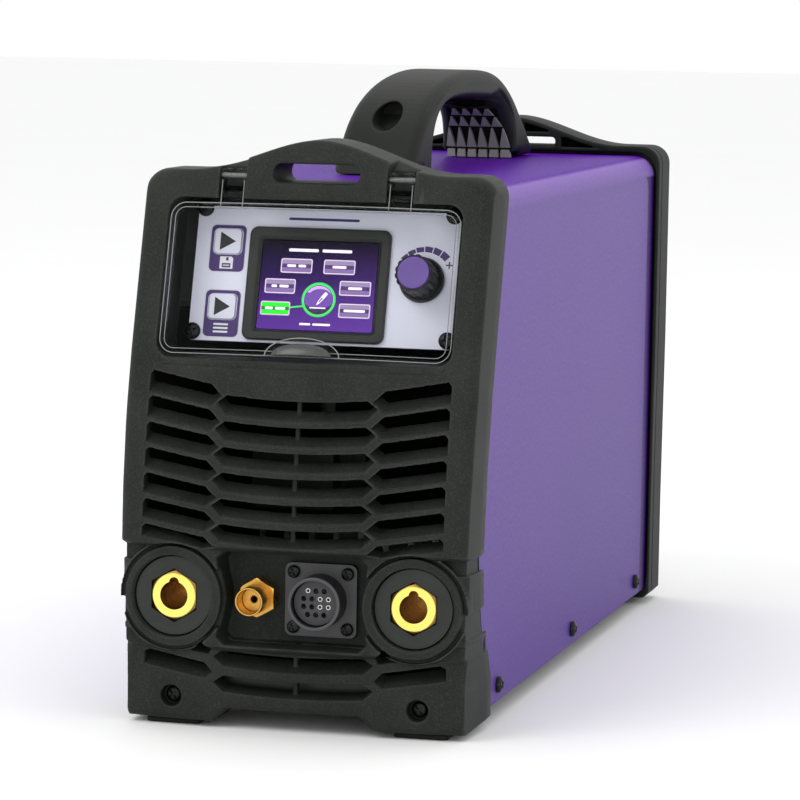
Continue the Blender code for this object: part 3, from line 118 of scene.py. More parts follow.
class Block:
    """A solid kept as distances on a grid. Millimetres from the datum."""

    def __init__(self, lo, hi, h):
        self.h = h
        self.lo = np.array(lo, float)
        n = [int(math.ceil((b - a) / h)) + 1 for a, b in zip(lo, hi)]
        self.ax = [a + h * np.arange(k) for a, k in zip(lo, n)]
        self.f = None

    def part(self, lo=None, hi=None):
        sl = []
        for i in range(3):
            a = 0 if lo is None else max(0, int((lo[i] - self.lo[i]) / self.h))
            b = len(self.ax[i]) if hi is None else min(len(self.ax[i]), int((hi[i] - self.lo[i]) / self.h) + 2)
            sl.append(slice(a, max(a, b)))
        return tuple(sl)

    def at(self, sl):
        return (self.ax[0][sl[0]][:, None, None].astype(np.float32), self.ax[1][sl[1]][None, :, None].astype(np.float32),
                self.ax[2][sl[2]][None, None, :].astype(np.float32))

    def start(self, fn):
        sl = self.part()
        g = fn(*self.at(sl))
        self.f = np.broadcast_to(g, [len(a) for a in self.ax]).astype(np.float32).copy()

    def keep(self, fn, r=0.0, lo=None, hi=None):
        sl = self.part(lo, hi)
        self.f[sl] = both(self.f[sl], fn(*self.at(sl)), r)

    def cut(self, fn, r=0.5, lo=None, hi=None):
        sl = self.part(lo, hi)
        if min(s.stop - s.start for s in sl) > 0:
            self.f[sl] = both(self.f[sl], -fn(*self.at(sl)), r)

    def add(self, fn, r=0.5, lo=None, hi=None):
        sl = self.part(lo, hi)
        self.f[sl] = either(self.f[sl], fn(*self.at(sl)), r)

    def mesh(self, name, faces_max=None):
        f = self.f
        f[0], f[-1] = 9.0, 9.0
        f[:, 0], f[:, -1] = 9.0, 9.0
        f[:, :, 0], f[:, :, -1] = 9.0, 9.0
        f[np.abs(f) < 1e-4] = 1e-4
        s = f < 0
        cell = np.zeros([k - 1 for k in f.shape], np.uint8)
        corners = [(i, j, k) for i in (0, 1) for j in (0, 1) for k in (0, 1)]
        for i, j, k in corners:
            cell += s[i:f.shape[0] - 1 + i, j:f.shape[1] - 1 + j, k:f.shape[2] - 1 + k]
        idx = np.argwhere((cell > 0) & (cell < 8))
        num = np.full(cell.shape, -1, np.int32)
        num[idx[:, 0], idx[:, 1], idx[:, 2]] = np.arange(len(idx))
        v = {c: f[idx[:, 0] + c[0], idx[:, 1] + c[1], idx[:, 2] + c[2]] for c in corners}
        total = np.zeros((len(idx), 3))
        count = np.zeros(len(idx))
        for a in corners:
            for axis in range(3):
                if a[axis]:
                    continue
                b = tuple(1 if i == axis else a[i] for i in range(3))
                hit = (v[a] < 0) != (v[b] < 0)
                t = np.where(hit, v[a] / np.where(hit, v[a] - v[b], 1), 0)
                p = np.zeros((len(idx), 3))
                for i in range(3):
                    p[:, i] = a[i]
                p[:, axis] += t
                total += p * hit[:, None]
                count += hit
        verts = (idx + total / count[:, None]) * self.h + self.lo
        quads = []
        for axis in range(3):
            u, w = (axis + 1) % 3, (axis + 2) % 3
            a = [slice(None)] * 3
            b = [slice(None)] * 3
            a[axis], b[axis] = slice(0, -1), slice(1, None)
            for e in (u, w):
                a[e] = slice(1, -1)
                b[e] = slice(1, -1)
            sa, sb = s[tuple(a)], s[tuple(b)]
            at = np.argwhere(sa != sb)
            neg = sa[at[:, 0], at[:, 1], at[:, 2]]
            base = at.copy()
            base[:, u] += 1
            base[:, w] += 1

            def cellno(du, dw):
                q = base.copy()
                q[:, u] -= du
                q[:, w] -= dw
                return num[q[:, 0], q[:, 1], q[:, 2]]
            q = np.stack([cellno(1, 1), cellno(0, 1), cellno(0, 0), cellno(1, 0)], 1)
            q[~neg] = q[~neg][:, ::-1]
            quads.append(q)
        quads = np.concatenate(quads)
        me = bpy.data.meshes.new(name)
        me.vertices.add(len(verts))
        me.vertices.foreach_set("co", (verts * MM).astype(np.float32).ravel())
        me.loops.add(quads.size)
        me.loops.foreach_set("vertex_index", quads.astype(np.int32).ravel())
        me.polygons.add(len(quads))
        me.polygons.foreach_set("loop_start", np.arange(0, quads.size, 4, dtype=np.int32))
        me.update(calc_edges=True)
        ob = bpy.data.objects.new(name, me)
        bpy.context.scene.collection.objects.link(ob)
        n = len(quads) * 2
        if faces_max and n > faces_max:
            m = ob.modifiers.new("d", 'DECIMATE')
            m.ratio = faces_max / n
            ob = bake(ob)
        me = ob.data
        # normals follow the solid's own slope, so mouldings shade evenly
        co = np.empty(len(me.vertices) * 3, np.float32)
        me.vertices.foreach_get("co", co)
        co = co.reshape(-1, 3) / MM
        g = np.zeros_like(co)
        for i in range(3):
            d = np.zeros(3)
            d[i] = self.h * 0.75
            g[:, i] = self.sample(co + d) - self.sample(co - d)
        g /= np.maximum(np.linalg.norm(g, axis=1), 1e-9)[:, None]
        me.shade_smooth()
        me.normals_split_custom_set_from_vertices(g.astype(np.float32).tolist())
        co[:, 1] += DY
        co[:, 2] += DZ
        me.vertices.foreach_set("co", (co * MM).ravel())
        me.update()
        return ob

    def sample(self, p):
        q = (p - self.lo) / self.h
        q = np.clip(q, 0, np.array(self.f.shape) - 1.001)
        i = q.astype(int)
        t = q - i
        out = np.zeros(len(p))
        for a in (0, 1):
            for b in (0, 1):
                for c in (0, 1):
                    w = (t[:, 0] if a else 1 - t[:, 0]) * (t[:, 1] if b else 1 - t[:, 1]) * (t[:, 2] if c else 1 - t[:, 2])
                    out += w * self.f[i[:, 0] + a, i[:, 1] + b, i[:, 2] + c]
        return out


# ================================================================ mesh helpers
def link(ob):
    bpy.context.scene.collection.objects.link(ob)
    return ob


def bake(ob):
    """Replace an object by the mesh that its modifiers or curve make."""
    bpy.context.view_layer.update()
    dg = bpy.context.evaluated_depsgraph_get()
    me = bpy.data.meshes.new_from_object(ob.evaluated_get(dg), depsgraph=dg)
    me.transform(ob.matrix_world)
    name = ob.name
    bpy.data.objects.remove(ob, do_unlink=True)
    new = link(bpy.data.objects.new(name, me))
    new.name = name
    return new


def to_object(name, bm):
    bmesh.ops.recalc_face_normals(bm, faces=bm.faces[:])
    me = bpy.data.meshes.new(name)
    bm.to_mesh(me)
    bm.free()
    return link(bpy.data.objects.new(name, me))


def shift(ob, fn):
    for v in ob.data.vertices:
        v.co = Vector(fn(v.co[0] / MM, v.co[1] / MM, v.co[2] / MM)) * MM
    ob.data.update()
    return ob


def clean(ob, dist=2e-6):
    bm = bmesh.new()
    bm.from_mesh(ob.data)
    bmesh.ops.remove_doubles(bm, verts=bm.verts[:], dist=dist)
    bmesh.ops.recalc_face_normals(bm, faces=bm.faces[:])
    bm.to_mesh(ob.data)
    bm.free()
    return ob


def prism(name, loops, axis, lo, hi, bevel=0.0, seg=3, angle=50):
    """An outline with straight sides; (x, z) for axis Y, (y, z) for X, (x, y) for Z."""
    cu = bpy.data.curves.new(name, 'CURVE')
    cu.dimensions = '2D'
    cu.fill_mode = 'BOTH'
    cu.extrude = (hi - lo) / 2 * MM
    for pts in loops:
        sp = cu.splines.new('POLY')
        sp.points.add(len(pts) - 1)
        for p, q in zip(sp.points, pts):
            p.co = (q[0] * MM, q[1] * MM, 0.0, 1.0)
        sp.use_cyclic_u = True
    ob = bake(link(bpy.data.objects.new(name, cu)))
    clean(ob, 1e-6)
    bm = bmesh.new()
    bm.from_mesh(ob.data)
    bmesh.ops.dissolve_limit(bm, angle_limit=0.001, verts=bm.verts[:], edges=bm.edges[:], delimit=set())
    bm.to_mesh(ob.data)
    bm.free()
    mid = (hi + lo) / 2
    if axis == 'Y':
        shift(ob, lambda a, b, c: (a, mid - c, b))
    elif axis == 'X':
        shift(ob, lambda a, b, c: (mid + c, a, b))
    else:
        shift(ob, lambda a, b, c: (a, b, mid + c))
    clean(ob, 1e-7)
    return soften(ob, bevel, seg, angle) if bevel else ob


def soften(ob, width, seg=3, angle=40):
    m = ob.modifiers.new("edges", 'BEVEL')
    m.width = width * MM
    m.segments = seg
    m.limit_method = 'ANGLE'
    m.angle_limit = math.radians(angle)
    m.harden_normals = False
    return bake(ob)


def box(name, x0, x1, y0, y1, z0, z1, bevel=0.0, seg=3):
    bm = bmesh.new()
    bmesh.ops.create_cube(bm, size=1.0)
    for v in bm.verts:
        v.co = Vector((x0 if v.co.x < 0 else x1, y0 if v.co.y < 0 else y1, z0 if v.co.z < 0 else z1)) * MM
    ob = to_object(name, bm)
    return soften(ob, bevel, seg) if bevel else ob


def turned(name, profile, seg, axis, centre):
    """A turned shape from (radius, position along the axis)."""
    bm = bmesh.new()
    rings = []
    for r, h in profile:
        if r <= 1e-9:
            rings.append([bm.verts.new((0, 0, h * MM))])
        else:
            rings.append([bm.verts.new((r * MM * math.cos(math.tau * i / seg), r * MM * math.sin(math.tau * i / seg), h * MM))
                          for i in range(seg)])
    n = len(rings)
    loop = n if all(r > 1e-9 for r, h in profile) else n - 1
    for k in range(loop):
        a, b = rings[k], rings[(k + 1) % n]
        for i in range(seg):
            j = (i + 1) % seg
            if len(a) == 1 and len(b) == 1:
                continue
            if len(a) == 1:
                bm.faces.new((a[0], b[i], b[j]))
            elif len(b) == 1:
                bm.faces.new((a[i], a[j], b[0]))
            else:
                bm.faces.new((a[i], a[j], b[j], b[i]))
    ob = to_object(name, bm)
    a0, b0 = centre
    if axis == 'Y':
        shift(ob, lambda a, b, c: (a0 + a, c, b0 - b))
    elif axis == 'X':
        shift(ob, lambda a, b, c: (c, a0 + a, b0 + b))
    else:
        shift(ob, lambda a, b, c: (a0 + a, b0 + b, c))
    return clean(ob, 1e-7)


def rod(name, axis, centre, r, lo, hi, seg=32, edge=0.0):
    if edge:
        prof = [(0, lo), (r - edge, lo), (r - edge * 0.3, lo + edge * 0.3), (r, lo + edge), (r, hi - edge),
                (r - edge * 0.3, hi - edge * 0.3), (r - edge, hi), (0, hi)]
    else:
        prof = [(0, lo), (r, lo), (r, hi), (0, hi)]
    return turned(name, prof, seg, axis, centre)


def boolean(ob, tool, op='DIFFERENCE'):
    m = ob.modifiers.new("cut", 'BOOLEAN')
    m.operation = op
    m.solver = 'EXACT'
    m.object = tool
    name = ob.name
    bpy.context.view_layer.update()
    dg = bpy.context.evaluated_depsgraph_get()
    me = bpy.data.meshes.new_from_object(ob.evaluated_get(dg), depsgraph=dg)
    ob.modifiers.clear()
    ob.data = me
    bpy.data.objects.remove(tool, do_unlink=True)
    ob.name = name
    return ob


def cut(ob, *tools):
    for t in tools:
        ob = boolean(ob, t, 'DIFFERENCE')
    return ob


def join(ob, *tools):
    for t in tools:
        ob = boolean(ob, t, 'UNION')
    return ob


def meet(ob, *tools):
    for t in tools:
        ob = boolean(ob, t, 'INTERSECT')
    return ob


def leaning(ob):
    return shift(ob, lambda x, v, w: (x, LEAN_Y + v * LC + w * LS, LEAN_Z - v * LS + w * LC))


def lean_point(x, v, w):
    return (x, LEAN_Y + v * LC + w * LS, LEAN_Z - v * LS + w * LC)


def finish(ob, name, mat, body, nodes=(), angle=35, smooth=True):
    """Put a piece in the row frame, on its body, with its material."""
    ob.name = name
    ob.data.name = name
    if not ob.get("placed"):
        for v in ob.data.vertices:
            v.co = Vector((v.co[0], v.co[1] + DY * MM, v.co[2] + DZ * MM))
        bm = bmesh.new()
        bm.from_mesh(ob.data)
        bmesh.ops.remove_doubles(bm, verts=bm.verts[:], dist=1e-6)
        bmesh.ops.dissolve_degenerate(bm, dist=1e-6, edges=bm.edges[:])
        bmesh.ops.recalc_face_normals(bm, faces=bm.faces[:])
        bm.to_mesh(ob.data)
        bm.free()
        if smooth:
            ob.data.shade_smooth()
            ob.data.set_sharp_from_angle(angle=math.radians(angle))
            even = ob.modifiers.new("even", 'WEIGHTED_NORMAL')
            even.keep_sharp = True
            even.weight = 60
    ob.data.materials.clear()
    ob.data.materials.append(mat)
    ob.data.update()
    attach(ob, body)
    if nodes:
        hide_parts(*nodes)
    return ob


def interp(tab, z):
    for (z0, y0), (z1, y1) in zip(tab, tab[1:]):
        if z <= z1:
            return y0 + (y1 - y0) * (z - z0) / (z1 - z0)
    return tab[-1][1]


def front_y(x, z):
    return interp(FRONT_PROFILE, z) - FRONT_BOW * (1 - min(1.0, abs(x) / 82.0) ** 2)


def round_rect(x0, x1, z0, z1, r, n=6):
    pts = []
    for cx, cz, a0 in ((x1 - r, z1 - r, 0), (x0 + r, z1 - r, 90), (x0 + r, z0 + r, 180), (x1 - r, z0 + r, 270)):
        for i in range(n + 1):
            a = math.radians(a0 + 90 * i / n)
            pts.append((cx + r * math.cos(a), cz + r * math.sin(a)))
    return pts


def regular(n, r, cx=0.0, cz=0.0, turn=0.0):
    return [(cx + r * math.cos(math.tau * i / n + turn), cz + r * math.sin(math.tau * i / n + turn)) for i in range(n)]


def arch_z(x, shoulder, crown):
    a = np.abs(x) / 62.0
    return np.where(a >= 1, shoulder, shoulder + (crown - shoulder) * (0.5 + 0.5 * np.cos(math.pi * np.minimum(a, 1) ** 0.92)))


def arch_outline(half_top, half_low, shoulder, crown, leg, notch, r=11.0):
    pts = []
    for i in range(9):
        a = math.radians(90 * i / 8)
        pts.append((half_top - r + r * math.cos(a), shoulder - r + r * math.sin(a)))
    for x in np.linspace(60, -60, 41):
        pts.append((float(x), float(arch_z(x, shoulder, crown))))
    for i in range(9):
        a = math.radians(90 + 90 * i / 8)
        pts.append((-half_top + r + r * math.cos(a), shoulder - r + r * math.sin(a)))
    pts += [(-half_top, 150), (-half_low, 60), (-half_low, leg + 3), (-half_low + 3, leg), (-38, leg), (-31, notch),
            (31, notch), (38, leg), (half_low - 3, leg), (half_low, leg + 3), (half_low, 60), (half_top, 150)]
    return pts


# =================================================================== materials
class Nodes:
    """A short way to write a material's node tree."""

    def __init__(self, name):
        self.m = bpy.data.materials.new(name)
        self.m.use_nodes = True
        self.t = self.m.node_tree
        self.b = self.t.nodes["Principled BSDF"]
        self.out = self.t.nodes["Material Output"]
        self.tc = self.t.nodes.new("ShaderNodeTexCoord")

    def new(self, kind, **kw):
        n = self.t.nodes.new(kind)
        for k, v in kw.items():
            if k.startswith("in_"):
                n.inputs[k[3:].replace("_", " ")].default_value = v
            else:
                setattr(n, k, v)
        return n

    def link(self, a, b):
        self.t.links.new(a, b)

    def noise(self, scale, detail=4.0, rough=0.55, stretch=None):
        n = self.new("ShaderNodeTexNoise")
        n.inputs["Scale"].default_value = scale
        n.inputs["Detail"].default_value = detail
        n.inputs["Roughness"].default_value = rough
        if stretch:
            mp = self.new("ShaderNodeMapping")
            mp.inputs["Scale"].default_value = stretch
            self.link(self.tc.outputs["Object"], mp.inputs["Vector"])
            self.link(mp.outputs["Vector"], n.inputs["Vector"])
        else:
            self.link(self.tc.outputs["Object"], n.inputs["Vector"])
        return n.outputs["Fac"]

    def ramp(self, fac, lo, hi, a, b):
        r = self.new("ShaderNodeMapRange")
        r.inputs["From Min"].default_value = lo
        r.inputs["From Max"].default_value = hi
        r.inputs["To Min"].default_value = a
        r.inputs["To Max"].default_value = b
        self.link(fac, r.inputs["Value"])
        return r.outputs["Result"]

    def mix(self, fac, a, b):
        x = self.new("ShaderNodeMix", data_type='RGBA')
        for sock, val in ((6, a), (7, b)):
            if isinstance(val, tuple):
                x.inputs[sock].default_value = (*val, 1.0)
            else:
                self.link(val, x.inputs[sock])
        if isinstance(fac, float):
            x.inputs[0].default_value = fac
        else:
            self.link(fac, x.inputs[0])
        return x.outputs[2]

    def math(self, op, a, b=None):
        x = self.new("ShaderNodeMath", operation=op)
        for i, v in enumerate((a, b)):
            if v is None:
                continue
            if isinstance(v, (int, float)):
                x.inputs[i].default_value = v
            else:
                self.link(v, x.inputs[i])
        return x.outputs[0]

    def bump(self, height, strength, distance, after=None):
        n = self.new("ShaderNodeBump")
        n.inputs["Strength"].default_value = strength
        n.inputs["Distance"].default_value = distance
        self.link(height, n.inputs["Height"])
        if after is not None:
            self.link(after, n.inputs["Normal"])
        return n.outputs["Normal"]

    def wear(self, lo=0.515, hi=0.56):
        g = self.new("ShaderNodeNewGeometry")
        return self.ramp(g.outputs["Pointiness"], lo, hi, 0.0, 1.0)


def moulded(name, base, light, rough=0.5, grain=1900.0, depth=0.00012, wear=0.35, spec=0.5, speck=0.5):
    """Textured injection moulding: fine spark-eroded grain, light specks, polished edges."""
    n = Nodes(name)
    fine = n.noise(grain, 3.0, 0.6)
    wide = n.noise(38.0, 4.0, 0.6)
    specks = n.ramp(fine, 0.50, 0.75, 0.0, speck)
    col = n.mix(specks, base, light)
    drift = n.ramp(wide, 0.3, 0.7, 0.0, 0.12)
    col = n.mix(drift, col, light)
    edge = n.math('MULTIPLY', n.wear(), wear)
    col = n.mix(edge, col, light)
    n.link(col, n.b.inputs["Base Color"])
    r = n.ramp(fine, 0.3, 0.7, rough - 0.06, rough + 0.08)
    r2 = n.math('SUBTRACT', r, n.math('MULTIPLY', edge, 0.25))
    n.link(r2, n.b.inputs["Roughness"])
    n.b.inputs["Specular IOR Level"].default_value = spec
    n.link(n.bump(fine, 0.55, depth), n.b.inputs["Normal"])
    return n.m


def painted(name, base, dark, rough=0.3, coat=0.5, peel=520.0):
    """Powder coat: slight orange peel, faint unevenness, clear gloss."""
    n = Nodes(name)
    wide = n.noise(9.0, 3.0, 0.5)
    fine = n.noise(peel, 2.0, 0.5)
    grit = n.noise(2600.0, 2.0, 0.5)
    col = n.mix(n.ramp(wide, 0.3, 0.7, 0.0, 0.25), base, dark)
    col = n.mix(n.ramp(grit, 0.58, 0.75, 0.0, 0.10), col, tuple(min(1, c * 1.6 + 0.02) for c in base))
    n.link(col, n.b.inputs["Base Color"])
    n.link(n.ramp(fine, 0.3, 0.7, rough - 0.04, rough + 0.06), n.b.inputs["Roughness"])
    n.b.inputs["Coat Weight"].default_value = coat
    n.b.inputs["Coat Roughness"].default_value = 0.12
    n.link(n.bump(fine, 0.25, 0.00006), n.b.inputs["Normal"])
    return n.m


def metal(name, base, dark, rough=0.25, stretch=(60, 60, 900), wear=0.3, grain=1.0):
    """Machined or drawn metal: directional tool lines, tarnish, bright edges."""
    n = Nodes(name)
    lines = n.noise(grain, 5.0, 0.6, stretch)
    spot = n.noise(70.0, 4.0, 0.6)
    col = n.mix(n.ramp(spot, 0.35, 0.72, 0.0, 0.55), base, dark)
    edge = n.math('MULTIPLY', n.wear(0.52, 0.60), wear)
    col = n.mix(edge, col, tuple(min(1, c * 1.25) for c in base))
    n.link(col, n.b.inputs["Base Color"])
    n.b.inputs["Metallic"].default_value = 1.0
    r = n.math('ADD', n.ramp(lines, 0.3, 0.7, rough - 0.06, rough + 0.08), n.ramp(spot, 0.35, 0.7, 0.0, 0.08))
    n.link(r, n.b.inputs["Roughness"])
    n.link(n.bump(lines, 0.2, 0.00004), n.b.inputs["Normal"])
    return n.m


def plain_coat(name, base, light, rough=0.4, grain=900.0, bump=0.15, metallic=0.0, coat=0.0, emit=None, strength=0.0):
    """Smooth painted, printed or moulded surface with a faint mottle."""
    n = Nodes(name)
    fine = n.noise(grain, 3.0, 0.55)
    wide = n.noise(30.0, 3.0, 0.5)
    col = n.mix(n.ramp(fine, 0.35, 0.7, 0.0, 0.35), base, light)
    col = n.mix(n.ramp(wide, 0.3, 0.7, 0.0, 0.18), col, tuple(c * 0.85 for c in base))
    n.link(col, n.b.inputs["Base Color"])
    n.link(n.ramp(fine, 0.3, 0.7, rough - 0.05, rough + 0.07), n.b.inputs["Roughness"])
    n.b.inputs["Metallic"].default_value = metallic
    n.b.inputs["Coat Weight"].default_value = coat
    n.link(n.bump(fine, bump, 0.00005), n.b.inputs["Normal"])
    if emit:
        n.b.inputs["Emission Color"].default_value = (*emit, 1.0)
        n.b.inputs["Emission Strength"].default_value = strength
    return n.m


def lit(name, colour, strength, grain=1500.0):
    """A lit part of the display."""
    n = Nodes(name)
    fine = n.noise(grain, 2.0, 0.5)
    col = n.mix(n.ramp(fine, 0.3, 0.7, 0.0, 0.12), colour, tuple(c * 0.8 for c in colour))
    n.link(col, n.b.inputs["Base Color"])
    n.link(col, n.b.inputs["Emission Color"])
    n.b.inputs["Emission Strength"].default_value = strength
    n.link(n.ramp(fine, 0.3, 0.7, 0.25, 0.35), n.b.inputs["Roughness"])
    return n.m


def srgb(r, g, b):
    return tuple(((c / 255) / 12.92 if c / 255 <= 0.04045 else ((c / 255 + 0.055) / 1.055) ** 2.4) for c in (r, g, b))


M_PLASTIC = moulded("charcoal_moulding", srgb(23, 27, 24), srgb(78, 82, 76), 0.52, 1500.0, 0.00016, 0.30, 0.16, 0.36)
M_GRIP = moulded("charcoal_grip", srgb(22, 25, 22), srgb(66, 68, 62), 0.52, 1900.0, 0.0001, 0.14, 0.14, 0.22)
# near-black coat for the inside of the cover: painted shade of the machine's interior
M_INSIDE_SHADE = painted("cover_inside_painted_shade", srgb(14, 13, 18), srgb(9, 9, 12), 0.6, 0.0, 700.0)
M_BLACKSHEET = painted("black_powder_coat", srgb(20, 21, 22), srgb(12, 12, 14), 0.45, 0.05, 700.0)
M_FOOT = moulded("foot_rubber", srgb(20, 22, 20), srgb(46, 47, 44), 0.75, 1100.0, 0.0001, 0.2, 0.2, 0.25)
M_PANEL = plain_coat("silver_overlay", srgb(232, 235, 250), srgb(242, 244, 254), 0.40, 1900.0, 0.10, 0.0, 0.05)
M_PRINT = plain_coat("purple_print", srgb(62, 34, 108), srgb(78, 48, 126), 0.42, 1500.0, 0.08)
M_INK = plain_coat("black_print", srgb(14, 16, 18), srgb(26, 28, 30), 0.42, 1500.0, 0.08)
M_BEZEL = moulded("screen_frame_grey", srgb(44, 47, 43), srgb(72, 75, 70), 0.46, 2100.0, 0.00006, 0.25, 0.3, 0.2)
M_KEY = plain_coat("key_face", srgb(232, 235, 249), srgb(242, 244, 254), 0.36, 1500.0, 0.08)
M_KNOB = moulded("knob_black", srgb(12, 13, 13), srgb(52, 54, 53), 0.42, 1700.0, 0.00006, 0.35, 0.35, 0.15)
M_CAP = plain_coat("knob_cap_purple", srgb(98, 70, 146), srgb(110, 84, 158), 0.40, 1500.0, 0.08)
M_SCREW = metal("black_oxide_screw", (0.030, 0.031, 0.032), (0.014, 0.014, 0.015), 0.34, (200, 200, 200), 0.6)
M_SHELL = plain_coat("black_anodised_shell", srgb(62, 62, 64), srgb(74, 74, 76), 0.44, 1900.0, 0.15, 0.0)
# near-black copy of the connector shell's colour for the barrel's side: painted shade
M_BARREL_SHADE = plain_coat("barrel_side_painted_shade", srgb(16, 16, 18), srgb(26, 26, 28), 0.38, 1900.0, 0.15, 0.0)
M_INSERT = moulded("insert_black", srgb(58, 58, 60), srgb(78, 78, 80), 0.50, 1700.0, 0.00005, 0.3, 0.3, 0.2)
M_CONTACT = metal("plated_contacts", (0.78, 0.78, 0.76), (0.58, 0.57, 0.54), 0.25, (200, 200, 200))
M_BRASS = metal("turned_brass", (0.62, 0.36, 0.08), (0.46, 0.24, 0.045), 0.24, (40, 900, 40), 0.5)
# a brighter, yellower copy of the brass for the sockets' front faces: painted highlight
M_BRASS_FACE_LIT = metal("turned_brass_painted_highlight", (1.0, 0.84, 0.20), (0.96, 0.70, 0.12), 0.32, (500, 40, 500), 0.5)
# a darker copy of the brass for the socket bodies and their bores: painted shade
M_BRASS_BORE_SHADE = metal("socket_brass_painted_shade", (0.40, 0.24, 0.08), (0.24, 0.13, 0.045), 0.24, (40, 900, 40), 0.3)
M_REAR = moulded("rear_moulding", srgb(16, 19, 17), srgb(58, 61, 56), 0.55, 1500.0, 0.00016, 0.35, 0.14, 0.25)
# pale grey copy of the grip's charcoal moulding for the facets: painted light where the front lamp catches them
M_FACETS_PAINTED_LIGHT = moulded("grip_facets", srgb(128, 129, 123), srgb(170, 170, 164), 0.6, 1500.0, 0.00012, 0.2, 0.2, 0.5)
M_DISC = moulded("insulator_black", srgb(25, 28, 26), srgb(70, 74, 69), 0.52, 1600.0, 0.00016, 0.3, 0.28, 0.32)
M_STEEL = metal("bright_steel", (0.55, 0.55, 0.55), (0.36, 0.36, 0.36), 0.26, (300, 300, 300))
M_WIRE = metal("plated_wire", (0.50, 0.50, 0.52), (0.34, 0.34, 0.36), 0.22, (200, 200, 200))
M_FAN = moulded("fan_black", srgb(16, 17, 18), srgb(38, 39, 40), 0.45, 1300.0, 0.00006, 0.25, 0.3, 0.2)
M_SWITCH = moulded("switch_black", srgb(15, 15, 16), srgb(36, 36, 38), 0.40, 1900.0, 0.00004, 0.25, 0.35, 0.15)
M_ROCKER = plain_coat("rocker_red", srgb(140, 22, 20), srgb(166, 34, 28), 0.28, 1200.0, 0.06, 0.0, 0.3)
M_GLAND = moulded("gland_nylon", srgb(20, 21, 22), srgb(48, 49, 50), 0.48, 1500.0, 0.00008, 0.3, 0.3, 0.25)
M_PIN = metal("pin_steel", (0.16, 0.16, 0.16), (0.08, 0.08, 0.08), 0.3, (900, 60, 60))
M_BOARD = plain_coat("solder_mask", srgb(14, 52, 26), srgb(22, 66, 36), 0.4, 700.0, 0.2)
M_SINK = metal("extruded_aluminium", (0.55, 0.56, 0.57), (0.38, 0.39, 0.41), 0.36, (700, 20, 700))
M_FERRITE = moulded("ferrite", srgb(22, 22, 24), srgb(46, 46, 48), 0.65, 900.0, 0.0002, 0.3, 0.2, 0.3)
M_COPPER = metal("enamelled_copper", (0.60, 0.27, 0.10), (0.38, 0.15, 0.06), 0.34, (20, 20, 700))
M_RESIN = plain_coat("potting_resin", srgb(22, 23, 28), srgb(34, 35, 42), 0.4, 200.0, 0.25)
M_VALVE = metal("cast_valve", (0.42, 0.43, 0.44), (0.28, 0.29, 0.30), 0.42, (300, 300, 300))
M_HOSE = moulded("hose_rubber", srgb(18, 19, 20), srgb(38, 38, 40), 0.6, 900.0, 0.0001, 0.2, 0.25, 0.2)
M_ENCODER = metal("die_cast_zinc", (0.50, 0.50, 0.51), (0.34, 0.34, 0.36), 0.38, (300, 300, 300))


def cover_coat_with_painted_light():
    """Purple powder coat with painted light: deep purple on the roof as painted shade, flanks paler and lighter upwards
    as painted light, a painted highlight round the bend and a painted shade margin at the rear edge.
    """
    n = Nodes("purple_coat_with_painted_light")
    wide = n.noise(9.0, 3.0, 0.5)
    fine = n.noise(620.0, 2.0, 0.5)
    grit = n.noise(2600.0, 2.0, 0.5)
    g = n.new("ShaderNodeNewGeometry")
    nv = n.new("ShaderNodeSeparateXYZ")
    n.link(g.outputs["Normal"], nv.inputs[0])
    at = n.new("ShaderNodeSeparateXYZ")
    n.link(n.tc.outputs["Object"], at.inputs[0])
    up = nv.outputs[2]
    y, z = at.outputs[1], at.outputs[2]
    # flank colour darker low down and lighter higher up: painted light
    flank = n.mix(n.ramp(z, 0.02, 0.225, 0.0, 1.0), srgb(82, 54, 134), srgb(100, 74, 147))
    # a dark strip on the flank along its rear and top edges: painted shade
    qy = n.math('MAXIMUM', n.math('SUBTRACT', y, 0.1735), 0.0)
    qz = n.math('MAXIMUM', n.math('SUBTRACT', z, 0.2265), 0.0)
    away = n.math('SQRT', n.math('ADD', n.math('MULTIPLY', qy, qy), n.math('MULTIPLY', qz, qz)))
    margin_shade = n.ramp(away, 0.0092, 0.0104, 0.0, 1.0)
    low = n.ramp(up, 0.02, 0.12, 1.0, 0.0)
    flank = n.mix(n.math('MULTIPLY', n.math('MULTIPLY', margin_shade, low), n.ramp(y, 0.150, 0.172, 0.0, 1.0)), flank, srgb(42, 2, 84))
    # a pale band where the sheet bends over: painted highlight
    bend_highlight = n.mix(n.ramp(up, 0.0, 0.80, 0.0, 1.0), flank, srgb(134, 104, 180))
    # deep saturated purple on the roof: painted shade of the unlit top
    roof = n.mix(n.ramp(up, 0.84, 0.93, 0.0, 1.0), bend_highlight, srgb(82, 18, 146))
    col = n.mix(n.ramp(wide, 0.3, 0.7, 0.0, 0.10), roof, srgb(84, 48, 140))
    col = n.mix(n.ramp(grit, 0.58, 0.75, 0.0, 0.07), col, srgb(160, 140, 205))
    n.link(col, n.b.inputs["Base Color"])
    n.link(n.ramp(fine, 0.3, 0.7, 0.38, 0.48), n.b.inputs["Roughness"])
    n.link(n.ramp(up, 0.2, 0.9, 0.10, 0.02), n.b.inputs["Specular IOR Level"])
    n.link(n.bump(fine, 0.2, 0.00006), n.b.inputs["Normal"])
    return n.m


M_PURPLE = cover_coat_with_painted_light()


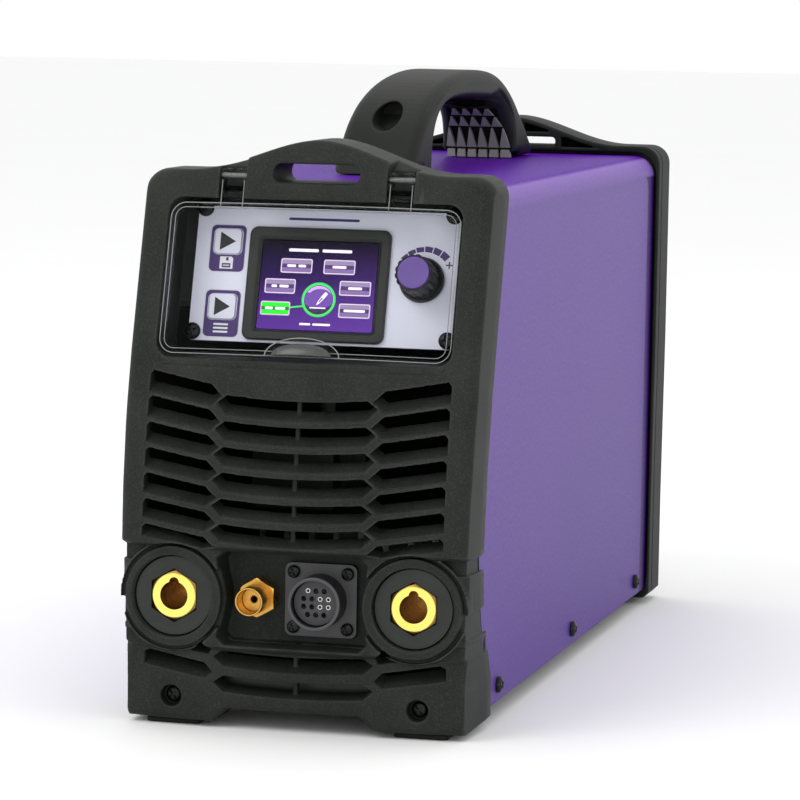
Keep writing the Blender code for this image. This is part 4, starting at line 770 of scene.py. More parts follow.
def clear_plastic(name, tint, gloss, rough):
    """Clear moulded sheet: lets everything through but its own reflections."""
    n = Nodes(name)
    fine = n.noise(180.0, 3.0, 0.5)
    n.b.inputs["Base Color"].default_value = (*tint, 1.0)
    n.b.inputs["Specular IOR Level"].default_value = gloss
    n.link(n.ramp(fine, 0.3, 0.7, rough, rough + 0.04), n.b.inputs["Roughness"])
    n.link(n.bump(fine, 0.04, 0.0001), n.b.inputs["Normal"])
    lw = n.new("ShaderNodeLayerWeight")
    lw.inputs["Blend"].default_value = 0.22
    a = n.ramp(lw.outputs["Facing"], 0.0, 1.0, 0.0, 0.38)
    tr = n.new("ShaderNodeBsdfTransparent")
    tr.inputs["Color"].default_value = (0.985, 0.985, 0.99, 1.0)
    mx = n.new("ShaderNodeMixShader")
    n.link(a, mx.inputs[0])
    n.link(tr.outputs[0], mx.inputs[1])
    n.link(n.b.outputs[0], mx.inputs[2])
    n.link(mx.outputs[0], n.out.inputs["Surface"])
    return n.m


M_CLEAR = clear_plastic("clear_polycarbonate", (0.09, 0.095, 0.10), 0.7, 0.05)
# pale grey for thin strips on the clear door's rims: painted highlight
M_DOOR_EDGE_HIGHLIGHT = plain_coat("door_edge_painted_highlight", srgb(128, 132, 130), srgb(160, 163, 160), 0.22, 300.0, 0.06)
M_DOORLENS = plain_coat("door_thumb_lens", srgb(62, 66, 62), srgb(84, 88, 84), 0.26, 90.0, 0.05)


# ============================================================== front moulding
H = 0.6


def soft_table(rows, z, width):
    """A profile with its corners eased."""
    k = np.linspace(-1.5, 1.5, 7)
    w = np.exp(-k * k * 1.6)
    return sum(wi * table(z + ki * width, rows) for ki, wi in zip(k, w)) / w.sum()


def make_fascia():
    B = Block((-85, -12, 3), (85, 70, 271), H)

    def front(x, z):
        fy = soft_table(FRONT_PROFILE, z, 0.9) - FRONT_BOW * (1 - np.minimum(1, np.abs(x) / 82.0) ** 2)
        fz = (soft_table(FRONT_PROFILE, z + 0.5, 0.9) - soft_table(FRONT_PROFILE, z - 0.5, 0.9))
        fx = FRONT_BOW * 2 * x / 82.0 ** 2
        return fy, 1 / np.sqrt(1 + fz * fz + fx * fx)

    outline = arch_outline(FASCIA_HALF_TOP, FASCIA_HALF_LOW, 254.0, 268.6, 5.2, 11.6)

    def outer(X, Y, Z):
        o = poly_sdf(X + 0 * Z, Z + 0 * X, outline)
        fy, k = front(X, Z)
        r = 2.6 + 4.6 * np.clip((np.abs(X) - 62) / 12, 0, 1) ** 2 * np.clip((Z - 20) / 20, 0.35, 1)
        return both(o + 0 * Y, (fy - Y) * k, r)
    B.start(outer)

    def rear(X, Y, Z):
        ry = soft_table(REAR_PROFILE, Z, 1.5)
        rz = soft_table(REAR_PROFILE, Z + 0.5, 1.5) - soft_table(REAR_PROFILE, Z - 0.5, 1.5)
        return (Y - ry) / np.sqrt(1 + rz * rz) + 0 * X
    B.keep(rear, 0.25)
    # the sides lean in a little towards the front
    def flank(X, Y, Z):
        half = np.interp(Z, [5, 60, 150, 260], [FASCIA_HALF_LOW, FASCIA_HALF_LOW, FASCIA_HALF_TOP, FASCIA_HALF_TOP])
        ry = soft_table(REAR_PROFILE, Z, 1.5) - 8.0
        return np.abs(X) - half + 0.085 * np.maximum(0, ry - Y)
    B.keep(flank, 0.3)

    def tub_out(X, Y, Z):
        d = rrect_sdf(X, Z, -RECESS_HALF - 2.7, RECESS_HALF + 2.7, RECESS_LOW - 2.7, RECESS_TOP + 2.7, RECESS_R + 2.7)
        v = (Y - LEAN_Y) * LC - (Z - LEAN_Z) * LS - (PANEL_V + 4.3)
        return np.maximum(np.maximum(d + 0 * Y, v + 0 * X), 44 - Y)
    B.add(tub_out, 0.3, (-80, 40, 160), (80, 70, 262))

    well = [(-34, 80.5), (-31, 83.5), (31, 83.5), (34, 80.5), (33.2, 74), (31.6, 68), (31.0, 62.5),
            (31.6, 57), (33.2, 50.5), (34, 45.5), (31, 42.5), (-31, 42.5), (-34, 45.5), (-33.2, 50.5),
            (-31.6, 57), (-31.0, 62.5), (-31.6, 68), (-33.2, 74)]
    well_out = [(x * 1.09, 62.8 + (z - 62.8) * 1.13) for x, z in well]

    def cavity(X, Y, Z):
        c = rrect_sdf(X, Z, -77.6, 77.6, 14.7, 246.4, 8)
        fy, k = front(X, Z)
        wall = np.interp(Z, [80, 90, 163, 176], [9.0, 7.0, 7.0, 3.2]) + 0 * X
        d = np.maximum(c + 0 * Y, (fy + wall - Y) * k)
        tub = rrect_sdf(X, Z, -RECESS_HALF - 2.7, RECESS_HALF + 2.7, RECESS_LOW - 2.7, RECESS_TOP + 2.7, RECESS_R + 2.7)
        v = (Y - LEAN_Y) * LC - (Z - LEAN_Z) * LS - (PANEL_V + 4.3)
        d = np.maximum(d, -np.maximum(tub + 0 * Y, v + 0 * X))
        w = poly_sdf(X + 0 * Z, Z + 0 * X, well_out)
        d = np.maximum(d, -np.maximum(w + 0 * Y, Y - (WELL_Y + 2.8)))
        for sx in (-1, 1):
            q = np.sqrt((X - sx * SOCKET_X) ** 2 + (Z - SOCKET_Z) ** 2) - 21.5
            d = np.maximum(d, -np.maximum(q + 0 * Y, Y - 16.5))
            q = np.sqrt((X - sx * 57.8) ** 2 + (Z - 16.0) ** 2) - 8.0
            d = np.maximum(d, -np.maximum(q + 0 * Y, Y - 13.3))
        return d
    B.cut(cavity, 0.3)

    # raised rims, collars and stepped pads at the sockets
    for sx in (-1, 1):
        cx = sx * SOCKET_X

        def rad(X, Z):
            return np.sqrt((X - cx) ** 2 + (Z - SOCKET_Z) ** 2)
        lo, hi = (cx - 32, -12, 30), (cx + 32, 40, 95)

        def collar(X, Y, Z):
            fy, k = front(X, Z)
            return np.maximum(np.maximum(rad(X, Z) - 25.2, -1.0 - Y), Y - 7)
        B.add(collar, 1.6, lo, hi)

        def pockets(X, Y, Z):
            r = 25.6 - rad(X, Z)
            side = 4.0 - sx * (X - cx)
            fy, k = front(X, Z)
            d = None
            for z0, z1 in ((78.4, 85.2), (49.0, 60.8), (39.4, 46.4)):
                band = np.maximum(np.maximum(z0 - Z, Z - z1) + 0 * X, np.maximum(r, side))
                inner = np.maximum(band + 0 * Y, Y - 2.3 + 0 * X)
                outer_ = np.maximum(np.maximum(z0 - Z, Z - z1) + 0 * X + 0 * Y, 79.4 + 0.055 * Y - sx * X)
                e = np.minimum(inner, outer_)
                d = e if d is None else np.minimum(d, e)
            return d
        B.cut(pockets, 0.55, (cx - 40 if sx < 0 else cx - 4, -12, 30), (cx + 4 if sx < 0 else cx + 40, 70, 95))

        def ring(X, Y, Z):
            q = rad(X, Z)
            prof = np.maximum(np.abs(q - 20.9) - 1.5, -2.3 - Y)
            return np.maximum(prof, Y - 6)
        B.add(ring, 0.9, lo, hi)

        def groove(X, Y, Z):
            q = rad(X, Z)
            return both(np.abs(q - 23.8) - 0.8 + 0 * Y, Y - 0.9, 0.3)
        B.cut(groove, 0.5, lo, hi)
        B.cut(lambda X, Y, Z: np.maximum(rad(X, Z) - 18.6, Y - 6.4), 0.7, lo, hi)
        B.cut(lambda X, Y, Z: rad(X, Z) - 14.5 + 0 * Y, 0.3, lo, hi)

    def well_cut(X, Y, Z):
        w = poly_sdf(X + 0 * Z, Z + 0 * X, well)
        w = w - 0.06 * np.maximum(0, WELL_Y - Y)
        return both(w, Y - WELL_Y, 1.2)
    B.cut(well_cut, 1.5, (-42, -12, 34), (42, 20, 92))
    B.cut(lambda X, Y, Z: np.sqrt((X - GAS_X) ** 2 + (Z - GAS_Z) ** 2) - 5.4 + 0 * Y, 0.3, (-26, 5, 54), (-10, 30, 72))
    B.cut(lambda X, Y, Z: np.sqrt((X - CONN_X) ** 2 + (Z - CONN_Z) ** 2) - 11.6 + 0 * Y, 0.3, (-3, 5, 48), (25, 30, 77))

    # recess for the panel
    def recess(X, Y, Z):
        d = rrect_sdf(X, Z, -RECESS_HALF, RECESS_HALF, RECESS_LOW, RECESS_TOP, RECESS_R)
        v = (Y - LEAN_Y) * LC - (Z - LEAN_Z) * LS
        return both(d + 0 * Y, v - (PANEL_V + 1.8) + 0 * X, 1.0)
    B.cut(recess, 1.0, (-76, -12, 164), (76, 62, 250))

    def window(X, Y, Z):
        v = (Y - LEAN_Y) * LC - (Z - LEAN_Z) * LS
        w = (Y - LEAN_Y) * LS + (Z - LEAN_Z) * LC
        return np.maximum(np.maximum(np.abs(X + 0.9) - 55.4, np.abs(w - 6) - 25.5), 20 - v)
    B.cut(window, 0.3, (-60, 20, 170), (60, 70, 250))

    # fine groove below the door
    def seam(X, Y, Z):
        fy, k = front(X, Z)
        line = np.abs(rrect_sdf(X, Z, -66.5, 66.5, 166.6, 190, 3.5)) - 0.30
        line = np.maximum(line, Z - 171.0)
        return np.maximum(line + 0 * Y, (Y - fy) * k - 0.55)
    B.cut(seam, 0.35, (-75, -8, 160), (75, 20, 174))

    # carrying-bar slot and hinge slots through the arch
    B.cut(lambda X, Y, Z: rrect_sdf(X, Z, -20.2, 20.2, 249.4, 257.8, 3.6) + 0 * Y, 1.1, (-26, 10, 243), (26, 70, 264))
    for sx in (-1, 1):
        hx = sx * HINGE_X

        def slot(X, Y, Z):
            return np.maximum(np.maximum(np.abs(X - hx) - 6.2, Y - 41), np.maximum(239.3 - Z, Z - 256.8))
        B.cut(slot, 0.6, (hx - 10, 5, 234), (hx + 10, 46, 262))

        def ramp(X, Y, Z):
            return np.maximum(np.maximum(np.abs(X - hx) - 6.2, (252.6 + (Y - 36) * 0.55) - Z), Y - 50)
        B.cut(ramp, 0.6, (hx - 10, 5, 248), (hx + 10, 56, 270))
        B.cut(lambda X, Y, Z: np.maximum(np.sqrt((Y - HINGE_Y) ** 2 + (Z - HINGE_Z) ** 2) - 1.5, np.abs(X - hx) - 9.5),
              0.0, (hx - 12, 28, 246), (hx + 12, 38, 257))

    for sx in (-1, 1):
        lo, hi = (sx * 57.8 - 9, -12, 5), (sx * 57.8 + 9, 40, 28)
        B.cut(lambda X, Y, Z: np.maximum(np.sqrt((X - sx * 57.8) ** 2 + (Z - 16) ** 2) - 4.9, Y - 9.0), 0.9, lo, hi)
        B.cut(lambda X, Y, Z: np.sqrt((X - sx * 57.8) ** 2 + (Z - 16) ** 2) - 2.3 + 0 * Y, 0.2, lo, hi)

    # louvres
    def crown(x, z0):
        return z0 + 0.0010 * x * x

    def slot_mid(z0, n=9):
        top = [(float(x), crown(x, z0) + 3.6) for x in np.linspace(32.6, -32.6, n)]
        low = [(float(x), crown(x, z0) - 3.6) for x in np.linspace(-32.6, 32.6, n)]
        return [(37.4, crown(37.4, z0))] + top + [(-37.4, crown(37.4, z0))] + low

    def slot_side(z0, sx, low_out=None, x_out=70.0):
        pts = [(35.0, crown(35, z0)), (40.5, crown(40.5, z0) + 4.0), (x_out - 1.5, crown(x_out, z0) + 3.9),
               (x_out, crown(x_out, z0) + 2.4), (x_out, crown(x_out, z0) - 4.2), (40.5, crown(40.5, z0) - 4.0)]
        if low_out:
            pts = pts[:4] + low_out
        return [(sx * x, z) for x, z in pts]

    def louvre(pts, slope=0.62, deep=16.0, nub=None, r=0.75):
        xs = [p[0] for p in pts]
        zs = [p[1] for p in pts]
        xc, zc = sum(xs) / len(xs), sum(zs) / len(zs)
        y0 = front_y(xc, zc)
        lo = (min(xs) - 3, y0 - 7, min(zs) - 3 - slope * 7)
        hi = (max(xs) + 3, y0 + deep + 2, max(zs) + 3 + slope * (deep + 2))
        sl = B.part(lo, hi)
        X, Y, Z = B.at(sl)
        x2 = X[:, 0, 0]
        z2 = np.arange(lo[2] - 14, hi[2] + 14, H * 0.5, dtype=np.float32)
        m = poly_sdf(x2[:, None] + 0 * z2[None, :], z2[None, :] + 0 * x2[:, None], pts) * (1 / math.sqrt(1 + slope * slope * 0.7))
        yy, zz = Y[0, :, 0], Z[0, 0, :]
        t = np.empty((len(x2), len(yy), len(zz)), np.float32)
        for j, y in enumerate(yy):
            q = (zz - slope * (y - y0) - z2[0]) / (H * 0.5)
            k = np.clip(q.astype(int), 0, len(z2) - 2)
            f = (q - k).astype(np.float32)
            t[:, j, :] = m[:, k] * (1 - f) + m[:, k + 1] * f
        t = np.maximum(t, Y - (y0 + deep))
        if nub is not None:
            t = np.maximum(t, -np.maximum(np.abs(X - nub) - 1.0, (y0 + 4.2) - Y) + 0 * Z)
        B.f[sl] = both(B.f[sl], -t, r)

    for k in range(6):
        louvre(slot_mid(148.1 - 11.37 * k), nub=0.5)
    for sx in (-1, 1):
        for k in range(6):
            louvre(slot_side(153.0 - 11.32 * k, sx))
        louvre(slot_side(153.0 - 11.32 * 6, sx, [(70.0, 88.8), (54, 87.4), (41.6, 83.6)]), 0.62, 12.0)
        louvre([(sx * x, z) for x, z in ((37.8, 28.4), (41.6, 32.4), (68, 36.0), (70.4, 34.9), (70.6, 29.2), (41.6, 25.4))],
               0.62, 9.3)
        louvre([(sx * x, z) for x, z in ((38.2, 39.2), (41.8, 42.6), (48.4, 37.4), (39.8, 36.2))], 0.3, 9.3)
    louvre(slot_mid(33.2), 0.62, 9.3, nub=0.5)
    louvre(slot_mid(21.8), 0.3, 9.3, nub=0.5)

    def rebate(X, Y, Z):
        u = np.maximum(rrect_sdf(X, Z, -80.95, 81.15, -40, 249.05, 11.35), COVER_BOTTOM - 0.4 - Z)
        ry = table(Z, REAR_PROFILE)
        tub = rrect_sdf(X, Z, -RECESS_HALF - 2.7, RECESS_HALF + 2.7, RECESS_LOW - 2.7, RECESS_TOP + 2.7, RECESS_R + 2.7)
        v = (Y - LEAN_Y) * LC - (Z - LEAN_Z) * LS - (PANEL_V + 4.3)
        return np.maximum(np.maximum(u + 0 * Y, ry - 5 - Y), -np.maximum(tub + 0 * Y, v + 0 * X))
    B.cut(rebate, 0.0)
    return B.mesh("fascia_shell", 196_000)


def place_field(ob, name, mat, body, node):
    ob.name = name
    ob.data.name = name
    ob["placed"] = 1
    return finish(ob, name, mat, body, (node,))


place_field(make_fascia(), "fascia_shell", M_PLASTIC, "body", "front_fascia")


# =============================================================== rear moulding
def make_bezel():
    B = Block((-86, 415, 3), (86, 455, 271), H)
    outline = arch_outline(BEZEL_HALF, BEZEL_HALF - 0.6, 254.0, 268.6, 6.0, 11.6, 10.0)

    def outer(X, Y, Z):
        o = poly_sdf(X + 0 * Z, Z + 0 * X, outline)
        d = both(o + 0 * Y, Y - BEZEL_REAR, 3.6)
        return both(d, BEZEL_FRONT - Y, 1.2)
    B.start(outer)
    # lighter outer band, dark step beside the cover
    B.cut(lambda X, Y, Z: np.maximum(np.maximum(rrect_sdf(X, Z, -81.15, 81.15, -40, 249.05, 11.35), COVER_BOTTOM - 0.4 - Z) + 0 * Y, Y - 423.4), 0.3)

    def ledge(X, Y, Z):
        inner = rrect_sdf(X, Z, -81.9, 81.9, 9.0, 250.6, 11.0)
        return np.maximum(inner + 0 * Y, Y - 420.6)
    B.cut(ledge, 0.4)
    B.cut(lambda X, Y, Z: both(rrect_sdf(X, Z, -75, 75, 20.5, 241, 8) + 0 * Y, -100 - Y, 0.1), 1.6)
    B.cut(lambda X, Y, Z: rrect_sdf(X, Z, -25.6, 25.6, 253.0, 257.8, 2.0) + 0 * Y, 0.5, (-30, 410, 246), (30, 460, 264))
    for sx in (-1, 1):
        for x0, x1, z0, z1 in ((8.4, 21.9, 260.6, 268.0), (23.9, 46.0, 260.6, 268.0), (28.9, 58.0, 252.6, 257.6)):
            a0, a1 = sorted((sx * x0, sx * x1))

            def pocket(X, Y, Z):
                roof = arch_z(np.abs(X), 254.0, 268.6) - 2.7
                return np.maximum(np.maximum(np.maximum(a0 - X, X - a1), np.maximum(z0 - Z, np.maximum(Z - z1, Z - roof))), Y - 438)
            B.cut(pocket, 0.35, (-70, 412, 244), (70, 445, 270))
    # seam line round the outside where the moulding's two draft directions meet
    def seam(X, Y, Z):
        o = poly_sdf(X + 0 * Z, Z + 0 * X, outline)
        return np.maximum(np.abs(Y - 427.5) - 0.4, -0.5 - o)
    B.cut(seam, 0.3)
    return B.mesh("bezel_shell", 120_000)


place_field(make_bezel(), "bezel_shell", M_REAR, "body", "rear_bezel")


# ====================================================================== handle
HANDLE_OUT = [(121, 249.0), (131, 257.5), (141, 267), (152, 275.5), (170, 284.2), (197, 291.4),
              (230, 295.6), (262, 296.8), (298, 295.4), (321, 291.2), (343, 283.0), (362, 272.5),
              (379, 262.5), (391, 255.0), (397, 249.0)]
HANDLE_IN = [(343, 249.0), (342.5, 254), (341, 259), (337, 264.5), (331.5, 269.5), (323, 275), (310, 279.8),
             (292, 282.6), (262, 283.8), (235, 284.4), (205, 283.4), (184, 279.0), (172, 271.5), (166, 261), (165, 249.0)]
TREAD = [(249.0, 253.4, 0.5, 2.45, 2.1), (254.2, 265.0, 0.5, 2.75, 0.2), (265.5, 271.0, 0.0, 2.75, 0.2), (271.4, 275.4, 0.5, 2.6, 0.5)]


def smooth_line(pts, per=4):
    P = [np.array(p, float) for p in pts]
    P = [P[0] * 2 - P[1]] + P + [P[-1] * 2 - P[-2]]
    out = []
    for i in range(1, len(P) - 2):
        for k in range(per):
            t = k / per
            a, b, c, d = P[i - 1:i + 3]
            out.append(0.5 * (2 * b + (c - a) * t + (2 * a - 5 * b + 4 * c - d) * t * t + (3 * b - a - 3 * c + d) * t ** 3))
    out.append(P[-2])
    return [tuple(float(q) for q in p) for p in out]


def make_handle():
    B = Block((-22, 115, 245), (22, 402, 300), H * 0.75)
    inn, out = smooth_line(HANDLE_IN), smooth_line(HANDLE_OUT)

    def reach(py, pz, line):
        d = np.full(py.shape, 1e9)
        for (ay, az), (by, bz) in zip(line, line[1:]):
            ey, ez = by - ay, bz - az
            t = np.clip(((py - ay) * ey + (pz - az) * ez) / (ey * ey + ez * ez), 0, 1)
            d = np.minimum(d, (py - ay - ey * t) ** 2 + (pz - az - ez * t) ** 2)
        return np.sqrt(d).astype(np.float32)[None]

    def body(X, Y, Z):
        py = Y[0, :, 0][:, None] + 0 * Z[0, 0, :][None, :]
        pz = Z[0, 0, :][None, :] + 0 * Y[0, :, 0][:, None]
        o = poly_sdf(py, pz, out + inn)[None]
        di, do = reach(py, pz, inn), reach(py, pz, out)
        t = np.clip((do - di) / 6 + 0.5, 0, 1)
        leg = np.clip((Y - 284) / 36, 0, 1)
        leg = leg * leg * (3 - 2 * leg) * t
        tall = np.clip((Z - 251) / 23, 0, 1)
        r = 6.6 - 4.0 * t + 4.4 * leg * tall * tall * (3 - 2 * tall)
        # a shallow bed for the facets down the inner face of the rear leg
        side = np.clip((20.4 - r - np.abs(X)) / 0.8, 0, 1)
        face = np.clip((leg - 0.7) / 0.2, 0, 1) * side
        o = o + leg * 2.4 * (X / 16) ** 2 + 2.0 * face * np.clip((276.0 - Z) / 0.8, 0, 1)
        # oval hollow with a rim above them
        ov = np.sqrt((X / 11.5) ** 2 + ((Z - 279.0) / 2.6) ** 2) + 0 * Y
        back = np.clip((Y - 300) / 6, 0, 1) * t
        o = o + back * (3.0 * np.clip((1 - ov) * 3, 0, 1) - 0.7 * np.clip(1 - np.abs(ov - 1.25) * 4, 0, 1))
        return both(o, np.abs(X) - 20.0, r)
    B.start(body)
    B.keep(lambda X, Y, Z: COVER_TOP + 0.3 - Z + 0 * X + 0 * Y, 0.7)
    B.cut(lambda X, Y, Z: np.maximum(np.sqrt(X ** 2 + (Z - 275.8) ** 2) - 6.8, Y - (156 + (Z - 267) * 1.686)), 0.9, (-12, 115, 262), (12, 172, 292))
    return B.mesh("handle_grip", 150_000)


place_field(make_handle(), "handle_grip", M_GRIP, "body", "handle")


def leg_face(x, z):
    rows = [(q, y) for y, q in HANDLE_IN[:7]]
    return interp(rows, z) + 2.4 * (x / 16) ** 2


facets = bmesh.new()
for z0, z1, ph, w0, w1 in TREAD:
    zm = (z0 + z1) / 2
    k = min(1.0, (zm - 251) / 23) if zm > 251 else 0.0
    limit = 18.0 - 6.0 * k * k * (3 - 2 * k)
    for i in range(-4, 5):
        xc = (i + ph) * 5.85
        if abs(xc) > limit:
            continue
        ring = [(xc - w0, z0 + 0.15), (xc + w0, z0 + 0.15), (xc + w1, z1 - 0.1), (xc - w1, z1 - 0.1)]
        front = [facets.verts.new((x * MM, (leg_face(x, z) - 0.1) * MM, z * MM)) for x, z in ring]
        back = [facets.verts.new((x * MM, (leg_face(x, z) + 4.2) * MM, z * MM)) for x, z in ring]
        facets.faces.new(front)
        facets.faces.new(back[::-1])
        for j in range(4):
            facets.faces.new((front[(j + 1) % 4], front[j], back[j], back[(j + 1) % 4]))
facets = to_object("facets", facets)
facets = soften(facets, 0.18, 2, 40)
# the facets take a pale grey instead of the grip's charcoal: painted light
finish(facets, "grip_facets", M_FACETS_PAINTED_LIGHT, "body")


# ============================================================== more mesh helpers
def copy_of(ob):
    new = bpy.data.objects.new(ob.name, ob.data.copy())
    return link(new)


def rim(name, outer, inner, prof):
    """A frame of one rounded section round a rectangle: (0..1 inward, position along Y)."""
    bm = bmesh.new()
    loops = []
    for t, v in prof:
        a = [o + (i - o) * t for o, i in zip(outer, inner)]
        loops.append([bm.verts.new((x * MM, v * MM, w * MM)) for x, w in round_rect(*a, 7)])
    n = len(loops)
    for k in range(n):
        p, q = loops[k], loops[(k + 1) % n]
        for i in range(len(p)):
            j = (i + 1) % len(p)
            bm.faces.new((p[i], p[j], q[j], q[i]))
    return to_object(name, bm)


def pan_head(head_r, head_h, shank_r, length, turn=0.3):
    """Domed head towards -Y with its seat at 0, shank along +Y, cross recess."""
    prof = [(0, length), (shank_r * 0.75, length), (shank_r, length - shank_r * 0.4), (shank_r, 0.0),
            (head_r - 0.12, 0.0), (head_r, -0.14)]
    for i in range(1, 8):
        a = math.radians(90 * i / 7)
        prof.append((head_r * max(0.0, math.cos(a)) ** 0.62 if i < 7 else 0, -head_h * (0.36 + 0.64 * math.sin(a))))
    s = turned("screw", prof, 36, 'Y', (0, 0))
    w, l = head_r * 0.15, head_r * 0.62
    cross = join(box("c1", -l, l, -head_h - 1, -head_h * 0.28, -w, w), box("c2", -w, w, -head_h - 1, -head_h * 0.28, -l, l))
    ct, st = math.cos(turn), math.sin(turn)
    shift(cross, lambda a, b, c: (a * ct - c * st, b, a * st + c * ct))
    return cut(s, cross)


# ================================================================= sheet cover
def u_loop(off, n=14):
    h, t, b, r = COVER_HALF - off, COVER_TOP - off, COVER_BOTTOM, COVER_BEND - off
    pts = [(h, b)]
    for i in range(n + 1):
        a = math.radians(90 * i / n)
        pts.append((h - r + r * math.cos(a), t - r + r * math.sin(a)))
    for i in range(n + 1):
        a = math.radians(90 + 90 * i / n)
        pts.append((-h + r + r * math.cos(a), t - r + r * math.sin(a)))
    pts.append((-h, b))
    return pts


SCREW_Y = (62.0, 226.0, 390.0)
cover = prism("cover_sheet", [u_loop(0) + u_loop(COVER_SHEET)[::-1]], 'Y', 0, 423.0)
cover = cut(cover, prism("front_edge", [[(y - 4.6, z) for z, y in REAR_PROFILE] + [(-60, 280), (-60, -5)]], 'X', -100, 100))
for sx in (-1, 1):
    for y in SCREW_Y:
        s0, s1 = sorted((sx * 70, sx * 90))
        cover = cut(cover, rod("hole", 'X', (y, 19.4), 2.3, s0, s1, 24))
cover = soften(cover, 0.22, 2, 50)
finish(cover, "cover_sheet", M_PURPLE, "body", ("cover",), 25)
# faces of the cover that face inwards or down take the near-black coat: painted shade inside the machine
cover.data.materials.append(M_INSIDE_SHADE)
for f in cover.data.polygons:
    c = f.center / MM
    if c.z - DZ > COVER_BOTTOM + 1 and (f.normal.x * c.x < -0.1 * abs(c.x) or f.normal.z < -0.1):
        f.material_index = 1

# ======================================================================== feet
for tag, y0, y1 in (("front", 7.0, 37.0), ("rear", 421.0, 450.0)):
    for side, sx in (("left", -1), ("right", 1)):
        x0, x1 = sorted((sx * 45.5, sx * 71.0))
        top = 5.2 - 0.3 if tag == "front" else 6.0 - 0.3
        foot = prism("pad", [round_rect(x0, x1, y0, y1, 3.0, 6)], 'Z', 2.5, top, 0.7, 3)
        foot = cut(foot, prism("hollow", [round_rect(x0 + 9, x1 - 9, y0 + 11, y1 - 11, 2.0, 5)], 'Z', 1.0, 3.3))
        finish(foot, "pad_%s_%s" % (tag, side), M_FOOT, "body", ("foot_%s_%s" % (tag, side),))

# ============================================================== control panel
SCREW_AT = [(-59.0, 35.5), (59.0, 35.5), (-60.2, -22.2), (60.2, -22.2)]
KEY_ROWS = (("upper", 14.5, 28.0, 6.2), ("lower", -16.1, -2.6, -24.3))
plate = prism("panel_plate", [round_rect(-62.3, 62.3, -26.2, 36.8, 2, 6), round_rect(-34.6, 28.6, -23.4, 25.8, 2, 5),
                              round_rect(-53.8, -40.4, 14.1, 26.5, 1.8, 5), round_rect(-53.8, -40.4, -16.5, -4.1, 1.8, 5),
                              regular(40, 4.2, KNOB_X, KNOB_W)], 'Y', PANEL_V, PANEL_V + 1.5)
for x, w in SCREW_AT:
    plate = cut(plate, rod("hole", 'Y', (x, w), 2.2, 10, 40, 24))
plate = soften(plate, 0.14, 2, 50)
finish(leaning(plate), "panel_plate", M_PANEL, "body", ("control_panel",))


def printed(name, loops, mat, v=None, thick=0.10, lift=0.06, body="body"):
    """Ink or film on a face: a layer a few hundredths of a millimetre proud of it."""
    v = PANEL_V if v is None else v
    ob = prism(name, loops, 'Y', v - lift, v - lift + thick)
    return finish(leaning(ob), name, mat, body)


M_LIGHTLINE = plain_coat("pale_print", srgb(222, 224, 234), srgb(236, 238, 244), 0.36, 1500.0, 0.06)
M_WHITE = plain_coat("white_print", srgb(238, 238, 242), srgb(250, 250, 252), 0.36, 1500.0, 0.06)
for tag, w0, top, low in KEY_ROWS:
    wc0, wc1 = w0 - 0.4, w0 + 12.0
    printed("key_field_%s" % tag, [round_rect(-55.4, -38.7, low, top, 2.4, 7), round_rect(-54.1, -40.1, wc0, wc1, 2.4, 6)], M_PRINT)
    printed("key_outline_%s" % tag, [round_rect(-56.0, -38.1, low - 0.6, top + 0.6, 2.9, 7),
                                     round_rect(-55.4, -38.7, low, top, 2.4, 7)], M_LIGHTLINE, lift=0.05)
    printed("key_halo_%s" % tag, [round_rect(-54.1, -40.1, wc0, wc1, 2.4, 6),
                                  round_rect(-53.8, -40.4, w0 - 0.4 + 0.3, wc1 - 0.3, 2.1, 6)], M_LIGHTLINE, lift=0.07)
printed("save_sign", [[(-50.3, 7.5), (-44.0, 7.5), (-44.0, 12.4), (-44.8, 13.2), (-50.3, 13.2)],
                      [(-49.2, 8.1), (-45.1, 8.1), (-45.1, 10.1), (-49.2, 10.1)],
                      [(-47.4, 11.3), (-46.2, 11.3), (-46.2, 12.9), (-47.4, 12.9)]], M_WHITE, lift=0.08)
printed("save_sign_bar", [[(-48.6, 8.85), (-45.7, 8.85), (-45.7, 9.35), (-48.6, 9.35)]], M_WHITE, lift=0.08)
for i in range(3):
    w = -18.5 - 1.75 * i
    printed("menu_bar_%d" % (i + 1), [round_rect(-50.6, -43.6, w - 0.45, w + 0.45, 0.3, 3)], M_WHITE, lift=0.08)
printed("title_rule", [round_rect(-19.0, 14.5, 31.3, 32.5, 0.55, 4)], M_PRINT)

# dial marks round the knob
for i in range(6):
    a0, a1 = 138 - 16 * i, 138 - 16 * i - 14.2
    r0, r1 = 13.3, 14.9 + 0.34 * i
    arc = [math.radians(a0 + (a1 - a0) * k / 6) for k in range(7)]
    pts = [(KNOB_X + r1 * math.cos(a), KNOB_W + r1 * math.sin(a)) for a in arc]
    pts += [(KNOB_X + r0 * math.cos(a), KNOB_W + r0 * math.sin(a)) for a in reversed(arc)]
    printed("dial_mark_%d" % (i + 1), [pts], M_PRINT)
cx, cw, k = 58.2, 12.7, 1.6
printed("dial_plus", [[(cx - k, cw - 0.3), (cx - 0.3, cw - 0.3), (cx - 0.3, cw - k), (cx + 0.3, cw - k), (cx + 0.3, cw - 0.3),
                       (cx + k, cw - 0.3), (cx + k, cw + 0.3), (cx + 0.3, cw + 0.3), (cx + 0.3, cw + k), (cx - 0.3, cw + k),
                       (cx - 0.3, cw + 0.3), (cx - k, cw + 0.3)]], M_INK)
printed("dial_minus", [[(34.4, 12.4), (36.6, 12.4), (36.6, 13.0), (34.4, 13.0)]], M_INK)

